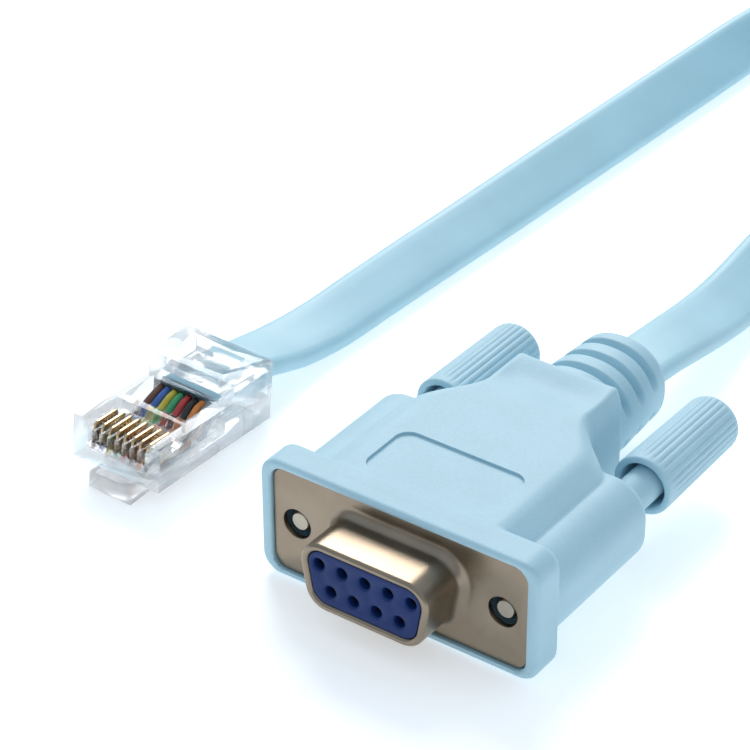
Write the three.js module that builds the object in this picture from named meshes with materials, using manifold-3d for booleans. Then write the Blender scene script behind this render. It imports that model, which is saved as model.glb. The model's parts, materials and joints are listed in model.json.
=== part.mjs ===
// Console cable: a moulded nine-way socket with two thumbscrews, a flat eight-conductor
// cable stored in a neat coil, and a clear eight-way modular plug at the far end.
// Millimetres, +Z up. While it is built, the socket's metal plate faces -Y with its front
// at y = 0 and its middle at x = z = 0. The finished model is then moved so that its
// origin is the middle of the socket end, on the floor.
import * as THREE from "three";
import { mergeVertices } from "three/addons/utils/BufferGeometryUtils.js";
import Module from "manifold-3d";

const wasm = await Module();
wasm.setup();

// Fits
const seatGap = 0.1;
const slideClearance = 0.35;
const restGap = 0.3;
const layGap = 0.2;

// Metal plate and its D-shaped shroud
const plateWidth = 30.81;
const plateHeight = 12.4;
const plateThickness = 0.6;
const plateCornerRadius = 1.5;
const screwSpacing = 24.99;
const screwHoleDiameter = 3.4;
const shroudTopWidth = 16.33;
const shroudHeight = 7.9;
const shroudLean = 10;
const shroudCornerRadius = 2.6;
const shroudProjection = 5.95;
const shroudRim = 0.85;
const shroudFoot = 1.2;

// Contact block and its nine contacts
const contactMargin = 1.33;
const contactRowSpacing = 2.84;
const upperContacts = 5;
const lowerContacts = 4;
const contactMouth = 1.3;
const contactBore = 1.0;
const contactDiameter = 1.6;
const contactLength = 9.2;
const contactDepth = 1.1;
const insulatorRecess = 0.2;
const insulatorTail = 2.6;

// Moulded hood
const bezelWidth = 33.7;
const bezelHeight = 14.1;
const bezelCornerRadius = 2.2;
const bezelLip = 0.4;
const bezelDepth = 4.0;
const earHeight = 9.7;
const earSide = 4.2;
const earReach = 20.4;
const earRounding = 3.0;
const gripTopWidth = 19.6;
const gripFootWidth = 24.8;
const neckTopWidth = 12.2;
const neckWidth = 13.6;
const shoulderStart = 17.8;
const shoulderEnd = 25.4;
const hoodReach = 31.3;
const hoodRounding = 0.9;
const labelWidth = 15.0;
const labelFront = 4.2;
const labelRear = 12.1;
const labelRadius = 1.4;
const labelDepth = 0.3;

// Ribbed strain relief
const reliefLength = 11.7;
const reliefRootWidth = 12.2;
const reliefRootHeight = 11.2;
const reliefTipWidth = 10.8;
const reliefTipHeight = 10.4;
const reliefGrooves = 3;
const reliefGroovePitch = 3.0;
const reliefFirstGroove = 2.2;
const reliefGrooveWidth = 1.0;
const reliefGrooveDepth = 1.0;
const reliefSpine = 3.4;
const reliefTongueWidth = 8.0;
const reliefTongueHeight = 6.0;
const reliefTongueLength = 2.0;

// Thumbscrews
const knobStandoff = 5.4;
const knobLength = 15.2;
const knobFrontDiameter = 6.84;
const knobRearDiameter = 6.46;
const knobCupDiameter = 5.2;
const knobCupDepth = 3.6;
const knobEndRounding = 1.3;
const stemDiameter = 3.9;
const stemLength = 9.0;
const screwDiameter = 2.8;
const screwTipDiameter = 2.0;
const screwTipLength = 1.0;
const screwSetback = 0.5;
const screwEndCover = 3.0;

// Flat cable
const cableWidth = 7.6;
const cableThickness = 2.4;
const cableSides = 10;

// Coil of the stored length, its turns on edge in two layers, and its two ties
const coilX = 16;
const coilY = 153;
const coilInnerRadius = 31.0;
const coilOuterRadius = 43.7;
const coilLayers = 2;
const layerGap = 0.3;
const tieThickness = 0.6;
const tieWidth = 5.0;

// Clear modular plug
const plugWidth = 11.68;
const plugLength = 19.97;
const plugFrontHeight = 5.3;
const plugRearHeight = 7.4;
const plugRearBlock = 7.1;
const plugWall = 0.5;
const bladeCount = 8;
const bladePitch = 1.02;
const bladeThickness = 0.3;
const bladeLength = 3.9;
const bladeSetback = 0.75;
const bladeTop = 4.65;
const ribTop = 4.15;
const contactWellWidth = 8.9;
const contactWellLength = 5.6;
const windowWidth = 8.4;
const windowFront = 6.6;
const windowLength = 5.2;
const anchorWidth = 6.6;
const anchorFront = 1.2;
const anchorLength = 4.2;
const anchorDepth = 1.65;
const jacketDepth = 7.5;
const jacketHeight = 4.1;
const wireDiameter = 0.84;
const wireHeight = 1.85;
const wireSpread = 0.92;

// Spring latch under the plug
const latchRootWidth = 5.8;
const latchRootLength = 3.1;
const latchRootHeight = 2.1;
const latchNose = 0.85;
const latchLength = 14.0;
const latchTipWidth = 3.4;
const latchShoulder = 7.5;
const latchRootThickness = 1.2;
const latchTipThickness = 0.7;

// Where the plug lies, and how it is turned
const plugX = -37.57;
const plugY = 0.97;
const plugYaw = 1.41;
const plugPitch = -4.38;
const plugRoll = 2.41;

const floor = -bezelHeight / 2;
const cylinderSides = 36;

const finish = {
  hood: { color: 0xb4d7e4, roughness: 0.55, metalness: 0 },
  cable: { color: 0xacd3e1, roughness: 0.5, metalness: 0 },
  nickel: { color: 0xa89c8c, roughness: 0.25, metalness: 1 },
  insulator: { color: 0x2a4c8c, roughness: 0.45, metalness: 0 },
  gold: { color: 0xc39b5a, roughness: 0.3, metalness: 1 },
  clear: { color: 0xe8eef4, roughness: 0.08, metalness: 0, transparent: true, opacity: 0.35 },
  tie: { color: 0x23262b, roughness: 0.7, metalness: 0 },
};
const wireColours = [0x6e4a33, 0x2f5fb0, 0xc9b93c, 0x2f9a5b, 0xb5302c, 0x1d1d20, 0xd9782f, 0x8a8f96];

// Merges shared vertices and turns the faces outwards.
function closed(geometry) {
  let merged = geometry.index ? geometry.clone() : geometry;
  merged.deleteAttribute("normal");
  merged.deleteAttribute("uv");
  merged = mergeVertices(merged, 1e-5);
  const index = merged.index.array;
  const position = merged.attributes.position;
  const kept = [];
  const a = new THREE.Vector3();
  const b = new THREE.Vector3();
  const c = new THREE.Vector3();
  let volume = 0;
  for (let i = 0; i < index.length; i += 3) {
    const [i0, i1, i2] = [index[i], index[i + 1], index[i + 2]];
    if (i0 === i1 || i1 === i2 || i0 === i2) continue;
    kept.push(i0, i1, i2);
    a.fromBufferAttribute(position, i0);
    b.fromBufferAttribute(position, i1);
    c.fromBufferAttribute(position, i2);
    volume += a.dot(b.cross(c));
  }
  if (volume < 0) {
    for (let i = 0; i < kept.length; i += 3) [kept[i], kept[i + 1]] = [kept[i + 1], kept[i]];
  }
  merged.setIndex(kept);
  return merged;
}

function solid(geometry) {
  const shape = closed(geometry);
  return new wasm.Manifold(new wasm.Mesh({
    numProp: 3,
    vertProperties: new Float32Array(shape.attributes.position.array),
    triVerts: new Uint32Array(shape.index.array),
  }));
}

function toGeometry(manifold) {
  const mesh = manifold.getMesh();
  const geometry = new THREE.BufferGeometry();
  geometry.setAttribute("position", new THREE.BufferAttribute(new Float32Array(mesh.vertProperties), 3));
  geometry.setIndex(new THREE.BufferAttribute(new Uint32Array(mesh.triVerts), 1));
  geometry.computeVertexNormals();
  return geometry;
}

function piece(name, shape, look) {
  const geometry = shape instanceof THREE.BufferGeometry ? closed(shape) : toGeometry(shape);
  geometry.computeVertexNormals();
  const mesh = new THREE.Mesh(geometry, new THREE.MeshStandardMaterial(look));
  mesh.name = name;
  return mesh;
}

function box(x0, x1, y0, y1, z0, z1) {
  const geometry = new THREE.BoxGeometry(x1 - x0, y1 - y0, z1 - z0);
  return solid(geometry.translate((x0 + x1) / 2, (y0 + y1) / 2, (z0 + z1) / 2));
}

// A solid turned about an axis along Y through (x, z), from [radius, y] points.
function turned(profile, x = 0, z = 0, sides = cylinderSides) {
  const points = profile.map(([r, y]) => new THREE.Vector2(r, y));
  return solid(new THREE.LatheGeometry(points, sides).translate(x, 0, z));
}

function rod(radius, y0, y1, x = 0, z = 0, sides = cylinderSides) {
  return turned([[0, y0], [radius, y0], [radius, y1], [0, y1]], x, z, sides);
}

// A convex outline in X and Z with its corners rounded, grown by an offset.
function outline(corners, radius, offset = 0, steps = 4) {
  const grown = corners.map((corner, i) => {
    const before = corners[(i + corners.length - 1) % corners.length];
    const after = corners[(i + 1) % corners.length];
    const inward = new THREE.Vector2().subVectors(corner, before).normalize();
    const outward = new THREE.Vector2().subVectors(after, corner).normalize();
    const bisector = new THREE.Vector2(inward.y + outward.y, -inward.x - outward.x).normalize();
    const reach = offset / (bisector.x * inward.y - bisector.y * inward.x);
    return { point: bisector.multiplyScalar(reach).add(corner), inward, outward };
  });
  const round = Math.max(radius + offset, 0.01);
  const points = [];
  for (const { point, inward, outward } of grown) {
    const turn = Math.acos(THREE.MathUtils.clamp(inward.dot(outward), -1, 1));
    const cut = round * Math.tan(turn / 2);
    const start = point.clone().addScaledVector(inward, -cut);
    const centre = start.clone().add(new THREE.Vector2(-inward.y, inward.x).multiplyScalar(round));
    for (let k = 0; k <= steps; k += 1) {
      const spoke = start.clone().sub(centre).rotateAround(new THREE.Vector2(), turn * k / steps);
      points.push(spoke.add(centre));
    }
  }
  return points;
}

function rectangle(width, height) {
  const x = width / 2;
  const z = height / 2;
  return [[-x, -z], [x, -z], [x, z], [-x, z]].map(([u, v]) => new THREE.Vector2(u, v));
}

function dShape() {
  const top = shroudTopWidth / 2;
  const z = shroudHeight / 2;
  const bottom = top - shroudHeight * Math.tan(THREE.MathUtils.degToRad(shroudLean));
  return [[-bottom, -z], [bottom, -z], [top, z], [-top, z]].map(([u, v]) => new THREE.Vector2(u, v));
}

// A closed body through outlines of equal point counts, each at its own y.
function loft(stations) {
  const count = stations[0].ring.length;
  const positions = [];
  for (const { y, ring } of stations) {
    for (const point of ring) positions.push(point.x, y, point.y);
  }
  const index = [];
  for (let s = 0; s + 1 < stations.length; s += 1) {
    for (let k = 0; k < count; k += 1) {
      const a = s * count + k;
      const b = s * count + (k + 1) % count;
      index.push(a, b, b + count, a, b + count, a + count);
    }
  }
  for (const [s, flip] of [[0, true], [stations.length - 1, false]]) {
    for (let k = 1; k + 1 < count; k += 1) {
      const fan = [s * count, s * count + k, s * count + k + 1];
      index.push(...(flip ? fan.reverse() : fan));
    }
  }
  const geometry = new THREE.BufferGeometry();
  geometry.setAttribute("position", new THREE.Float32BufferAttribute(positions, 3));
  geometry.setIndex(index);
  return solid(geometry);
}

function prism(ring, y0, y1) {
  return loft([{ y: y0, ring }, { y: y1, ring }]);
}

function joined(first, ...others) {
  return others.reduce((sum, other) => sum.add(other), first);
}

function cut(first, ...others) {
  return others.reduce((rest, other) => rest.subtract(other), first);
}

// The upper row fills the shroud's width at its own height, less a margin at each end.
const rowDrop = (shroudHeight - contactRowSpacing) / 2;
const rowHalfWidth = shroudTopWidth / 2 - rowDrop * Math.tan(THREE.MathUtils.degToRad(shroudLean)) - shroudRim;
const contactPitch = 2 * (rowHalfWidth - contactMargin) / (upperContacts - 1);

function contactPlaces() {
  const places = [];
  for (const [count, z] of [[upperContacts, contactRowSpacing / 2], [lowerContacts, -contactRowSpacing / 2]]) {
    for (let i = 0; i < count; i += 1) places.push([(i - (count - 1) / 2) * contactPitch, z]);
  }
  return places;
}

const insulatorFront = -shroudProjection + insulatorRecess;
const insulatorRear = plateThickness + insulatorTail;
const contactFront = insulatorFront + contactDepth;
const contactRear = contactFront + contactLength;
const bezelFront = -bezelLip;
const bezelRear = bezelFront + bezelDepth;

function frontPlate() {
  const plate = prism(outline(rectangle(plateWidth, plateHeight), plateCornerRadius), 0, plateThickness);
  const skirt = [[0, shroudFoot], [-0.3, shroudFoot * 0.45], [-0.75, shroudFoot * 0.12], [-shroudFoot, 0]];
  const lip = [[0.4, 0], [0.12, -0.12], [0.03, -0.32], [0, -0.6]];
  const side = [
    { y: plateThickness, ring: outline(dShape(), shroudCornerRadius, shroudFoot) },
    ...skirt.map(([y, grow]) => ({ y, ring: outline(dShape(), shroudCornerRadius, grow) })),
    ...lip.map(([y, grow]) => ({ y: y - shroudProjection, ring: outline(dShape(), shroudCornerRadius, grow) })),
  ];
  const mouth = prism(outline(dShape(), shroudCornerRadius, -shroudRim), -shroudProjection - 1, plateThickness + 1);
  const holes = [-1, 1].map((s) => rod(screwHoleDiameter / 2, -1, plateThickness + 1, s * screwSpacing / 2));
  return cut(joined(plate, loft(side)), mouth, ...holes);
}

function insulator() {
  const ring = outline(dShape(), shroudCornerRadius, -shroudRim - seatGap);
  const block = prism(ring, insulatorFront, insulatorRear);
  const mouth = contactMouth / 2;
  const well = contactDiameter / 2 + seatGap;
  const wells = contactPlaces().map(([x, z]) => turned([
    [0, insulatorFront - 1], [mouth, insulatorFront - 1], [mouth, contactFront - seatGap],
    [well, contactFront - seatGap], [well, insulatorRear + 1], [0, insulatorRear + 1],
  ], x, z, 12));
  return cut(block, ...wells);
}

function socketContact([x, z]) {
  const outer = contactDiameter / 2;
  const inner = contactBore / 2;
  const blind = contactRear - 2;
  return turned([
    [inner, contactFront], [outer, contactFront], [outer, contactRear - 0.4], [outer - 0.4, contactRear],
    [0, contactRear], [0, blind], [inner, blind], [inner, contactFront],
  ], x, z, 12);
}

// The hood's middle, wide beside the ears and narrow at the neck, with leaning walls.
function hoodBody() {
  const half = bezelHeight / 2;
  const section = (t, shrink) => {
    const top = THREE.MathUtils.lerp(gripTopWidth, neckTopWidth, t) / 2 - shrink;
    const foot = THREE.MathUtils.lerp(gripFootWidth, neckWidth, t) / 2 - shrink;
    const knee = earHeight / 2 - shrink;
    const tall = half - shrink;
    const side = [[top, tall], [foot, knee], [foot, -knee], [top, -tall]];
    const corners = [...side.map(([x, z]) => [-x, z]), ...side.reverse()];
    return outline(corners.map(([x, z]) => new THREE.Vector2(x, z)), hoodRounding, 0, 3);
  };
  const stations = [{ y: bezelRear - 1, ring: section(0, 0) }];
  const steps = 8;
  for (let k = 0; k <= steps; k += 1) {
    const y = THREE.MathUtils.lerp(shoulderStart, shoulderEnd, k / steps);
    stations.push({ y, ring: section(THREE.MathUtils.smoothstep(y, shoulderStart, shoulderEnd), 0) });
  }
  for (const angle of [0, 30, 60, 90]) {
    const turn = THREE.MathUtils.degToRad(angle);
    const y = hoodReach - hoodRounding * (1 - Math.sin(turn));
    stations.push({ y, ring: section(1, hoodRounding * (1 - Math.cos(turn)) * 0.8) });
  }
  return loft(stations);
}

function ear(side) {
  const inner = screwSpacing / 4;
  const outer = screwSpacing / 2 + earSide;
  const shape = (shrink) => {
    const ring = outline(rectangle(outer - inner, earHeight), Math.min(earRounding, earHeight / 2 - 0.1), -shrink);
    return ring.map((point) => new THREE.Vector2(point.x + side * (outer + inner) / 2, point.y));
  };
  return loft([
    { y: bezelRear - 1, ring: shape(0) },
    { y: earReach - 1, ring: shape(0) },
    { y: earReach - 0.3, ring: shape(0.3) },
    { y: earReach, ring: shape(1) },
  ]);
}

// The bare label panel, sunk a little into the top.
function labelPanel() {
  const middle = (labelFront + labelRear) / 2;
  const ring = outline(rectangle(labelWidth, labelRear - labelFront), labelRadius);
  const panel = prism(ring, -bezelHeight / 2 - 1, -bezelHeight / 2 + labelDepth);
  return panel.rotate([-90, 0, 0]).translate([0, middle, 0]);
}

function hood() {
  const bezelRing = (shrink) => outline(rectangle(bezelWidth, bezelHeight), bezelCornerRadius, -shrink);
  const bezel = loft([
    { y: bezelFront, ring: bezelRing(0.4) }, { y: bezelFront + 0.12, ring: bezelRing(0.12) },
    { y: bezelFront + 0.4, ring: bezelRing(0) }, { y: bezelRear - 0.3, ring: bezelRing(0) },
    { y: bezelRear, ring: bezelRing(0.3) },
  ]);
  const plateRing = outline(rectangle(plateWidth, plateHeight), plateCornerRadius, seatGap);
  const seat = prism(plateRing, bezelFront - 1, plateThickness + seatGap);
  const block = prism(outline(dShape(), shroudCornerRadius, -shroudRim + restGap), 0, insulatorRear + seatGap);
  const tails = contactPlaces().map(([x, z]) => rod(
    contactDiameter / 2 + seatGap, insulatorRear, contactRear + seatGap, x, z, 12));
  const bores = [-1, 1].map((s) => rod(
    stemDiameter / 2 + slideClearance, plateThickness, earReach + 1, s * screwSpacing / 2));
  const knobRoom = [-1, 1].map((s) => rod(
    knobFrontDiameter / 2 + slideClearance, earReach, hoodReach, s * screwSpacing / 2));
  const socket = prism(
    outline(rectangle(reliefTongueWidth, reliefTongueHeight), 2, seatGap),
    hoodReach - reliefTongueLength - seatGap, hoodReach + 1);
  const whole = joined(bezel, hoodBody(), ear(-1), ear(1));
  return cut(whole, seat, block, ...tails, ...bores, ...knobRoom, socket, labelPanel());
}

function superellipse(width, height, power = 2.2, count = 32) {
  const points = [];
  for (let k = 0; k < count; k += 1) {
    const angle = 2 * Math.PI * k / count;
    const round = (value) => Math.sign(value) * Math.abs(value) ** (2 / power);
    points.push(new THREE.Vector2(width / 2 * round(Math.cos(angle)), height / 2 * round(Math.sin(angle))));
  }
  return points;
}

function strainRelief() {
  const root = hoodReach + seatGap;
  const tip = hoodReach + reliefLength;
  const ringAt = (y, shrink) => {
    const t = (y - root) / (tip - root);
    return superellipse(
      THREE.MathUtils.lerp(reliefRootWidth, reliefTipWidth, t) - 2 * shrink,
      THREE.MathUtils.lerp(reliefRootHeight, reliefTipHeight, t) - 2 * shrink);
  };
  const body = loft([
    { y: root, ring: ringAt(root, 0) }, { y: tip - 1.2, ring: ringAt(tip - 1.2, 0) },
    { y: tip - 0.4, ring: ringAt(tip - 0.4, 0.35) }, { y: tip, ring: ringAt(tip, 1.2) },
  ]);
  const tongue = prism(
    outline(rectangle(reliefTongueWidth, reliefTongueHeight), 2, 0),
    hoodReach - reliefTongueLength, root + 1);
  const grooves = [];
  for (let i = 0; i < reliefGrooves; i += 1) {
    const y0 = hoodReach + reliefFirstGroove + i * reliefGroovePitch;
    const y1 = y0 + reliefGrooveWidth;
    const core = loft([
      { y: y0 - 1, ring: ringAt(y0, reliefGrooveDepth) }, { y: y1 + 1, ring: ringAt(y1, reliefGrooveDepth) },
    ]);
    const side = reliefRootWidth;
    for (const [z0, z1] of [[reliefSpine / 2, side], [-side, -reliefSpine / 2]]) {
      grooves.push(box(-side, side, y0, y1, z0, z1).subtract(core));
    }
  }
  return cut(joined(body, tongue), ...grooves);
}

function screw(side) {
  const radius = screwDiameter / 2;
  const tip = screwTipDiameter / 2;
  const rear = earReach + knobStandoff + knobLength - screwEndCover;
  return turned([
    [0, screwSetback], [tip, screwSetback], [radius, screwSetback + screwTipLength], [radius, rear], [0, rear],
  ], side * screwSpacing / 2, 0, 24);
}

function knob(side) {
  const front = earReach + knobStandoff;
  const rear = front + knobLength;
  const bore = screwDiameter / 2 + seatGap;
  const stem = stemDiameter / 2;
  const cup = knobCupDiameter / 2;
  const wide = knobFrontDiameter / 2;
  const narrow = knobRearDiameter / 2;
  const stemFront = front - stemLength;
  const blind = rear - screwEndCover + seatGap;
  const round = knobEndRounding;
  return turned([
    [bore, stemFront], [stem, stemFront], [stem, front + knobCupDepth], [cup, front + knobCupDepth - 0.3],
    [cup, front], [wide - 0.3, front], [wide, front + 0.3], [narrow, rear - round],
    [narrow - 0.35 * round, rear - 0.35 * round], [narrow - round, rear], [0, rear], [0, blind],
    [bore, blind], [bore, stemFront],
  ], side * screwSpacing / 2);
}

// The flat cable's section, its width along x and its thickness along y.
function cableSection() {
  const round = cableThickness / 2;
  const straight = cableWidth / 2 - round;
  const arc = (cableSides - 2) / 2;
  const shape = new THREE.Shape();
  for (const [side, start] of [[1, -Math.PI / 2], [-1, Math.PI / 2]]) {
    for (let k = 0; k <= arc; k += 1) {
      const angle = start + Math.PI * k / arc;
      const x = side * straight + round * Math.cos(angle);
      const y = round * Math.sin(angle);
      if (side === 1 && k === 0) shape.moveTo(x, y);
      else shape.lineTo(x, y);
    }
  }
  return shape;
}

// A run of cable through points of [x, y, z, twist]. At no twist it lies flat. The twist, in
// degrees, turns it about its own length, and lifts the edge on its left as it is followed.
function cableRun(points, steps) {
  const strip = new THREE.ExtrudeGeometry(cableSection(), { depth: 1, steps, bevelEnabled: false });
  const route = new THREE.CatmullRomCurve3(points.map(([x, y, z]) => new THREE.Vector3(x, y, z)), false, "centripetal");
  const place = strip.attributes.position;
  const up = new THREE.Vector3(0, 0, 1);
  for (let i = 0; i < place.count; i += 1) {
    const t = place.getZ(i);
    const along = route.getTangent(t);
    const right = new THREE.Vector3().crossVectors(along, up).normalize();
    const lift = new THREE.Vector3().crossVectors(right, along);
    const whole = Math.min(Math.floor(t * (points.length - 1)), points.length - 2);
    const part = t * (points.length - 1) - whole;
    const twist = THREE.MathUtils.degToRad(THREE.MathUtils.lerp(points[whole][3], points[whole + 1][3], part));
    const acrossX = place.getX(i) * Math.cos(twist) + place.getY(i) * Math.sin(twist);
    const acrossY = -place.getX(i) * Math.sin(twist) + place.getY(i) * Math.cos(twist);
    const point = route.getPoint(t).addScaledVector(right, acrossX).addScaledVector(lift, acrossY);
    place.setXYZ(i, point.x, point.y, point.z);
  }
  return strip;
}

// How high the middle of the cable lies when it rests on the floor at a given twist.
function restHeight(twist) {
  const round = cableThickness / 2;
  return floor + layGap + round + (cableWidth / 2 - round) * Math.sin(THREE.MathUtils.degToRad(twist));
}

const coilBottom = floor + tieThickness + restGap;
const coilHeight = coilLayers * cableWidth + (coilLayers - 1) * layerGap;
const lowTurns = coilBottom + cableWidth / 2;
const highTurns = coilBottom + coilHeight - cableWidth / 2;
const cableExit = hoodReach + reliefLength + restGap;

// From the strain relief down to the floor, then round to the foot of the coil.
const socketRoute = [
  [0.1, cableExit, 0, 0],
  [0.1, 48, -0.4, 2],
  [-0.1, 54, -1.4, 8],
  [-0.5, 60, -2.6, 14],
  [-1.0, 66, -3.6, 20],
  [-1.6, 72, -4.1, 26],
  [-2.2, 78, restHeight(33) + 0.1, 33],
  [-2.5, 84, restHeight(42), 42],
  [-2.2, 90, restHeight(54), 54],
  [-0.2, 97.2, restHeight(68), 68],
  [4.0, 103.2, restHeight(80), 80],
  [9.6, 107.0, lowTurns - 0.3, 88],
  [15.8, 108, lowTurns, 90],
];

// From the top of the coil down to the floor, round to the left and forward to the plug.
const plugRoute = [
  [16, 198, highTurns, 90],
  [4.22, 196.95, highTurns - 0.5, 90],
  [-6.75, 192.4, highTurns - 2.0, 90],
  [-16.17, 185.17, highTurns - 4.2, 90],
  [-23.4, 175.75, highTurns - 6.4, 90],
  [-28.5, 165.0, lowTurns, 90],
  [-30.2, 154, restHeight(84), 96],
  [-30.6, 144.5, restHeight(73), 107],
  [-31.0, 135, restHeight(59), 121],
  [-32.2, 125, restHeight(48), 132],
  [-32.8, 115, restHeight(43), 137],
  [-33.4, 105, restHeight(39), 141],
  [-34.0, 95, restHeight(35), 145],
  [-34.6, 85, restHeight(32), 148],
  [-35.2, 75, restHeight(28), 152],
  [-35.8, 65, restHeight(24), 156],
  [-36.4, 55, restHeight(22), 158],
  [-36.9, 46, restHeight(19), 161],
  [-37.4, 38, restHeight(15), 165],
  [-37.8, 31, -4.3, 171],
  [-38.05, 25, -2.9, 180],
  [-38.07, 21.4, -2.15, 177.59],
];

function coil() {
  const points = [
    [coilInnerRadius, coilBottom], [coilOuterRadius, coilBottom],
    [coilOuterRadius, coilBottom + coilHeight], [coilInnerRadius, coilBottom + coilHeight],
    [coilInnerRadius, coilBottom],
  ].map(([r, z]) => new THREE.Vector2(r, z));
  return new THREE.LatheGeometry(points, 64).rotateX(Math.PI / 2).translate(coilX, coilY, 0);
}

// A strap round the coil's section, on one side of the coil.
function tie(side) {
  const wide = coilOuterRadius - coilInnerRadius + 2 * restGap;
  const tall = coilHeight + 2 * restGap;
  const loop = (grow) => prism(outline(rectangle(wide, tall), 0.5, grow), -tieWidth / 2, tieWidth / 2);
  const middle = coilBottom + coilHeight / 2;
  const reach = (coilInnerRadius + coilOuterRadius) / 2;
  return loop(tieThickness).subtract(loop(0)).translate([coilX + side * reach, coilY, middle]);
}

// The plug is built from the foot of its front face, y going back and z up.
const plugBlades = Array.from({ length: bladeCount }, (_, i) => i - (bladeCount - 1) / 2);
const bladeBottom = wireHeight + wireDiameter / 2 + 0.15;
const jacketFront = plugLength - jacketDepth;

function plugBody() {
  const side = plugWidth / 2;
  const blockFront = plugLength - plugRearBlock;
  const body = joined(
    box(-side, side, 0, plugLength, 0, plugFrontHeight),
    box(-side, side, blockFront, plugLength, plugFrontHeight / 2, plugRearHeight));
  const well = box(-contactWellWidth / 2, contactWellWidth / 2, -1, contactWellLength, ribTop, plugRearHeight);
  const slotWidth = bladeThickness / 2 + seatGap;
  const slotRear = bladeSetback + bladeLength + seatGap;
  const slotFoot = bladeBottom - 0.2;
  const slots = plugBlades.map((i) => box(
    i * bladePitch - slotWidth, i * bladePitch + slotWidth, -1, slotRear, slotFoot, plugRearHeight));
  const wireTop = wireHeight + wireDiameter / 2 + seatGap;
  const wireFoot = wireHeight - wireDiameter / 2 - seatGap;
  const wireSide = (bladeCount * bladePitch) / 2 + seatGap;
  const tunnel = box(-wireSide, wireSide, plugWall, windowFront + 0.2, wireFoot, wireTop);
  const chamber = box(-wireSide, wireSide, windowFront, jacketFront, wireFoot, jacketHeight + wireDiameter);
  const window = box(
    -windowWidth / 2, windowWidth / 2, windowFront, windowFront + windowLength, wireTop, plugRearHeight);
  const anchor = box(
    -anchorWidth / 2, anchorWidth / 2, blockFront + anchorFront, blockFront + anchorFront + anchorLength,
    plugRearHeight - anchorDepth, plugRearHeight + 1);
  const jacketSide = cableWidth / 2 + restGap;
  const jacketHalf = cableThickness / 2 + restGap;
  const throat = box(
    -jacketSide, jacketSide, jacketFront - 0.2, plugLength + 1,
    jacketHeight - jacketHalf, jacketHeight + jacketHalf);
  return cut(body, well, ...slots, tunnel, chamber, window, anchor, throat);
}

function plugBlade(i) {
  const front = bladeSetback;
  const rear = bladeSetback + bladeLength;
  const side = [
    [front, bladeBottom], [rear, bladeBottom], [rear, bladeTop - 0.2], [rear - 0.3, bladeTop],
    [front + 0.5, bladeTop], [front + 0.12, bladeTop - 0.2], [front, bladeTop - 0.6],
  ].map(([y, z]) => new THREE.Vector2(y, z));
  const blade = new THREE.ExtrudeGeometry(new THREE.Shape(side), { depth: bladeThickness, bevelEnabled: false });
  return blade.rotateX(Math.PI / 2).rotateZ(Math.PI / 2).translate(i * bladePitch - bladeThickness / 2, 0, 0);
}

function plugWire(i) {
  const path = new THREE.CatmullRomCurve3([
    [i * wireSpread, jacketFront - 0.3, jacketHeight],
    [i * wireSpread, jacketFront - 1.4, jacketHeight - 0.2],
    [i * bladePitch, windowFront + 2.4, wireHeight + 0.7],
    [i * bladePitch, windowFront + 0.4, wireHeight],
    [i * bladePitch, windowFront - 2, wireHeight],
    [i * bladePitch, plugWall + 0.3, wireHeight],
  ].map(([x, y, z]) => new THREE.Vector3(x, y, z)));
  const ring = new THREE.Shape();
  ring.absarc(0, 0, wireDiameter / 2, 0, 2 * Math.PI);
  return new THREE.ExtrudeGeometry(ring, { steps: 12, curveSegments: 4, bevelEnabled: false, extrudePath: path });
}

function jacketEnd() {
  const strip = new THREE.ExtrudeGeometry(cableSection(), { depth: jacketDepth, steps: 1, bevelEnabled: false });
  return strip.rotateX(Math.PI / 2).translate(0, plugLength, jacketHeight);
}

// The latch hangs from the foot of the plug's front face, and its lever runs back level with
// the floor, under the tilted body.
function plugLatch() {
  const level = Math.tan(THREE.MathUtils.degToRad(-plugPitch));
  const rootTop = -restGap;
  const rootFoot = rootTop - latchRootHeight;
  const rootFront = -latchNose;
  const rootRear = rootFront + latchRootLength;
  const tipRear = rootFront + latchLength;
  const footAt = (y) => rootFoot + Math.max(y - rootFront, 0) * level;
  const side = new THREE.Shape([
    [rootFront, rootFoot], [tipRear, footAt(tipRear)], [tipRear, footAt(tipRear) + latchTipThickness],
    [rootRear + 0.8, footAt(rootRear + 0.8) + latchRootThickness], [rootRear, rootTop], [rootFront, rootTop],
  ].map(([y, z]) => new THREE.Vector2(y, z)));
  const whole = new THREE.ExtrudeGeometry(side, { depth: latchRootWidth, bevelEnabled: false });
  const lever = solid(whole.rotateX(Math.PI / 2).rotateZ(Math.PI / 2).translate(-latchRootWidth / 2, 0, 0));
  const shoulder = rootFront + latchShoulder;
  const sides = [-1, 1].map((s) => {
    const near = s * latchTipWidth / 2;
    const far = s * latchRootWidth;
    return box(Math.min(near, far), Math.max(near, far), shoulder, tipRear + 1, rootFoot - 1, 1);
  });
  return cut(lever, ...sides);
}

const object = new THREE.Group();

object.add(piece("hood", hood(), finish.hood));
object.add(piece("strain_relief", strainRelief(), finish.hood));
object.add(piece("front_plate", frontPlate(), finish.nickel));
object.add(piece("insulator", insulator(), finish.insulator));
contactPlaces().forEach((place, i) => {
  object.add(piece(`socket_contact_${i + 1}`, socketContact(place), finish.gold));
});
for (const [name, side] of [["left", -1], ["right", 1]]) {
  object.add(piece(`screw_${name}`, screw(side), finish.nickel));
  object.add(piece(`knob_${name}`, knob(side), finish.hood));
}

object.add(piece("cable_socket_run", cableRun(socketRoute, 16), finish.cable));
object.add(piece("cable_coil", coil(), finish.cable));
object.add(piece("cable_plug_run", cableRun(plugRoute, 36), finish.cable));
object.add(piece("cable_tie_left", tie(-1), finish.tie));
object.add(piece("cable_tie_right", tie(1), finish.tie));

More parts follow.
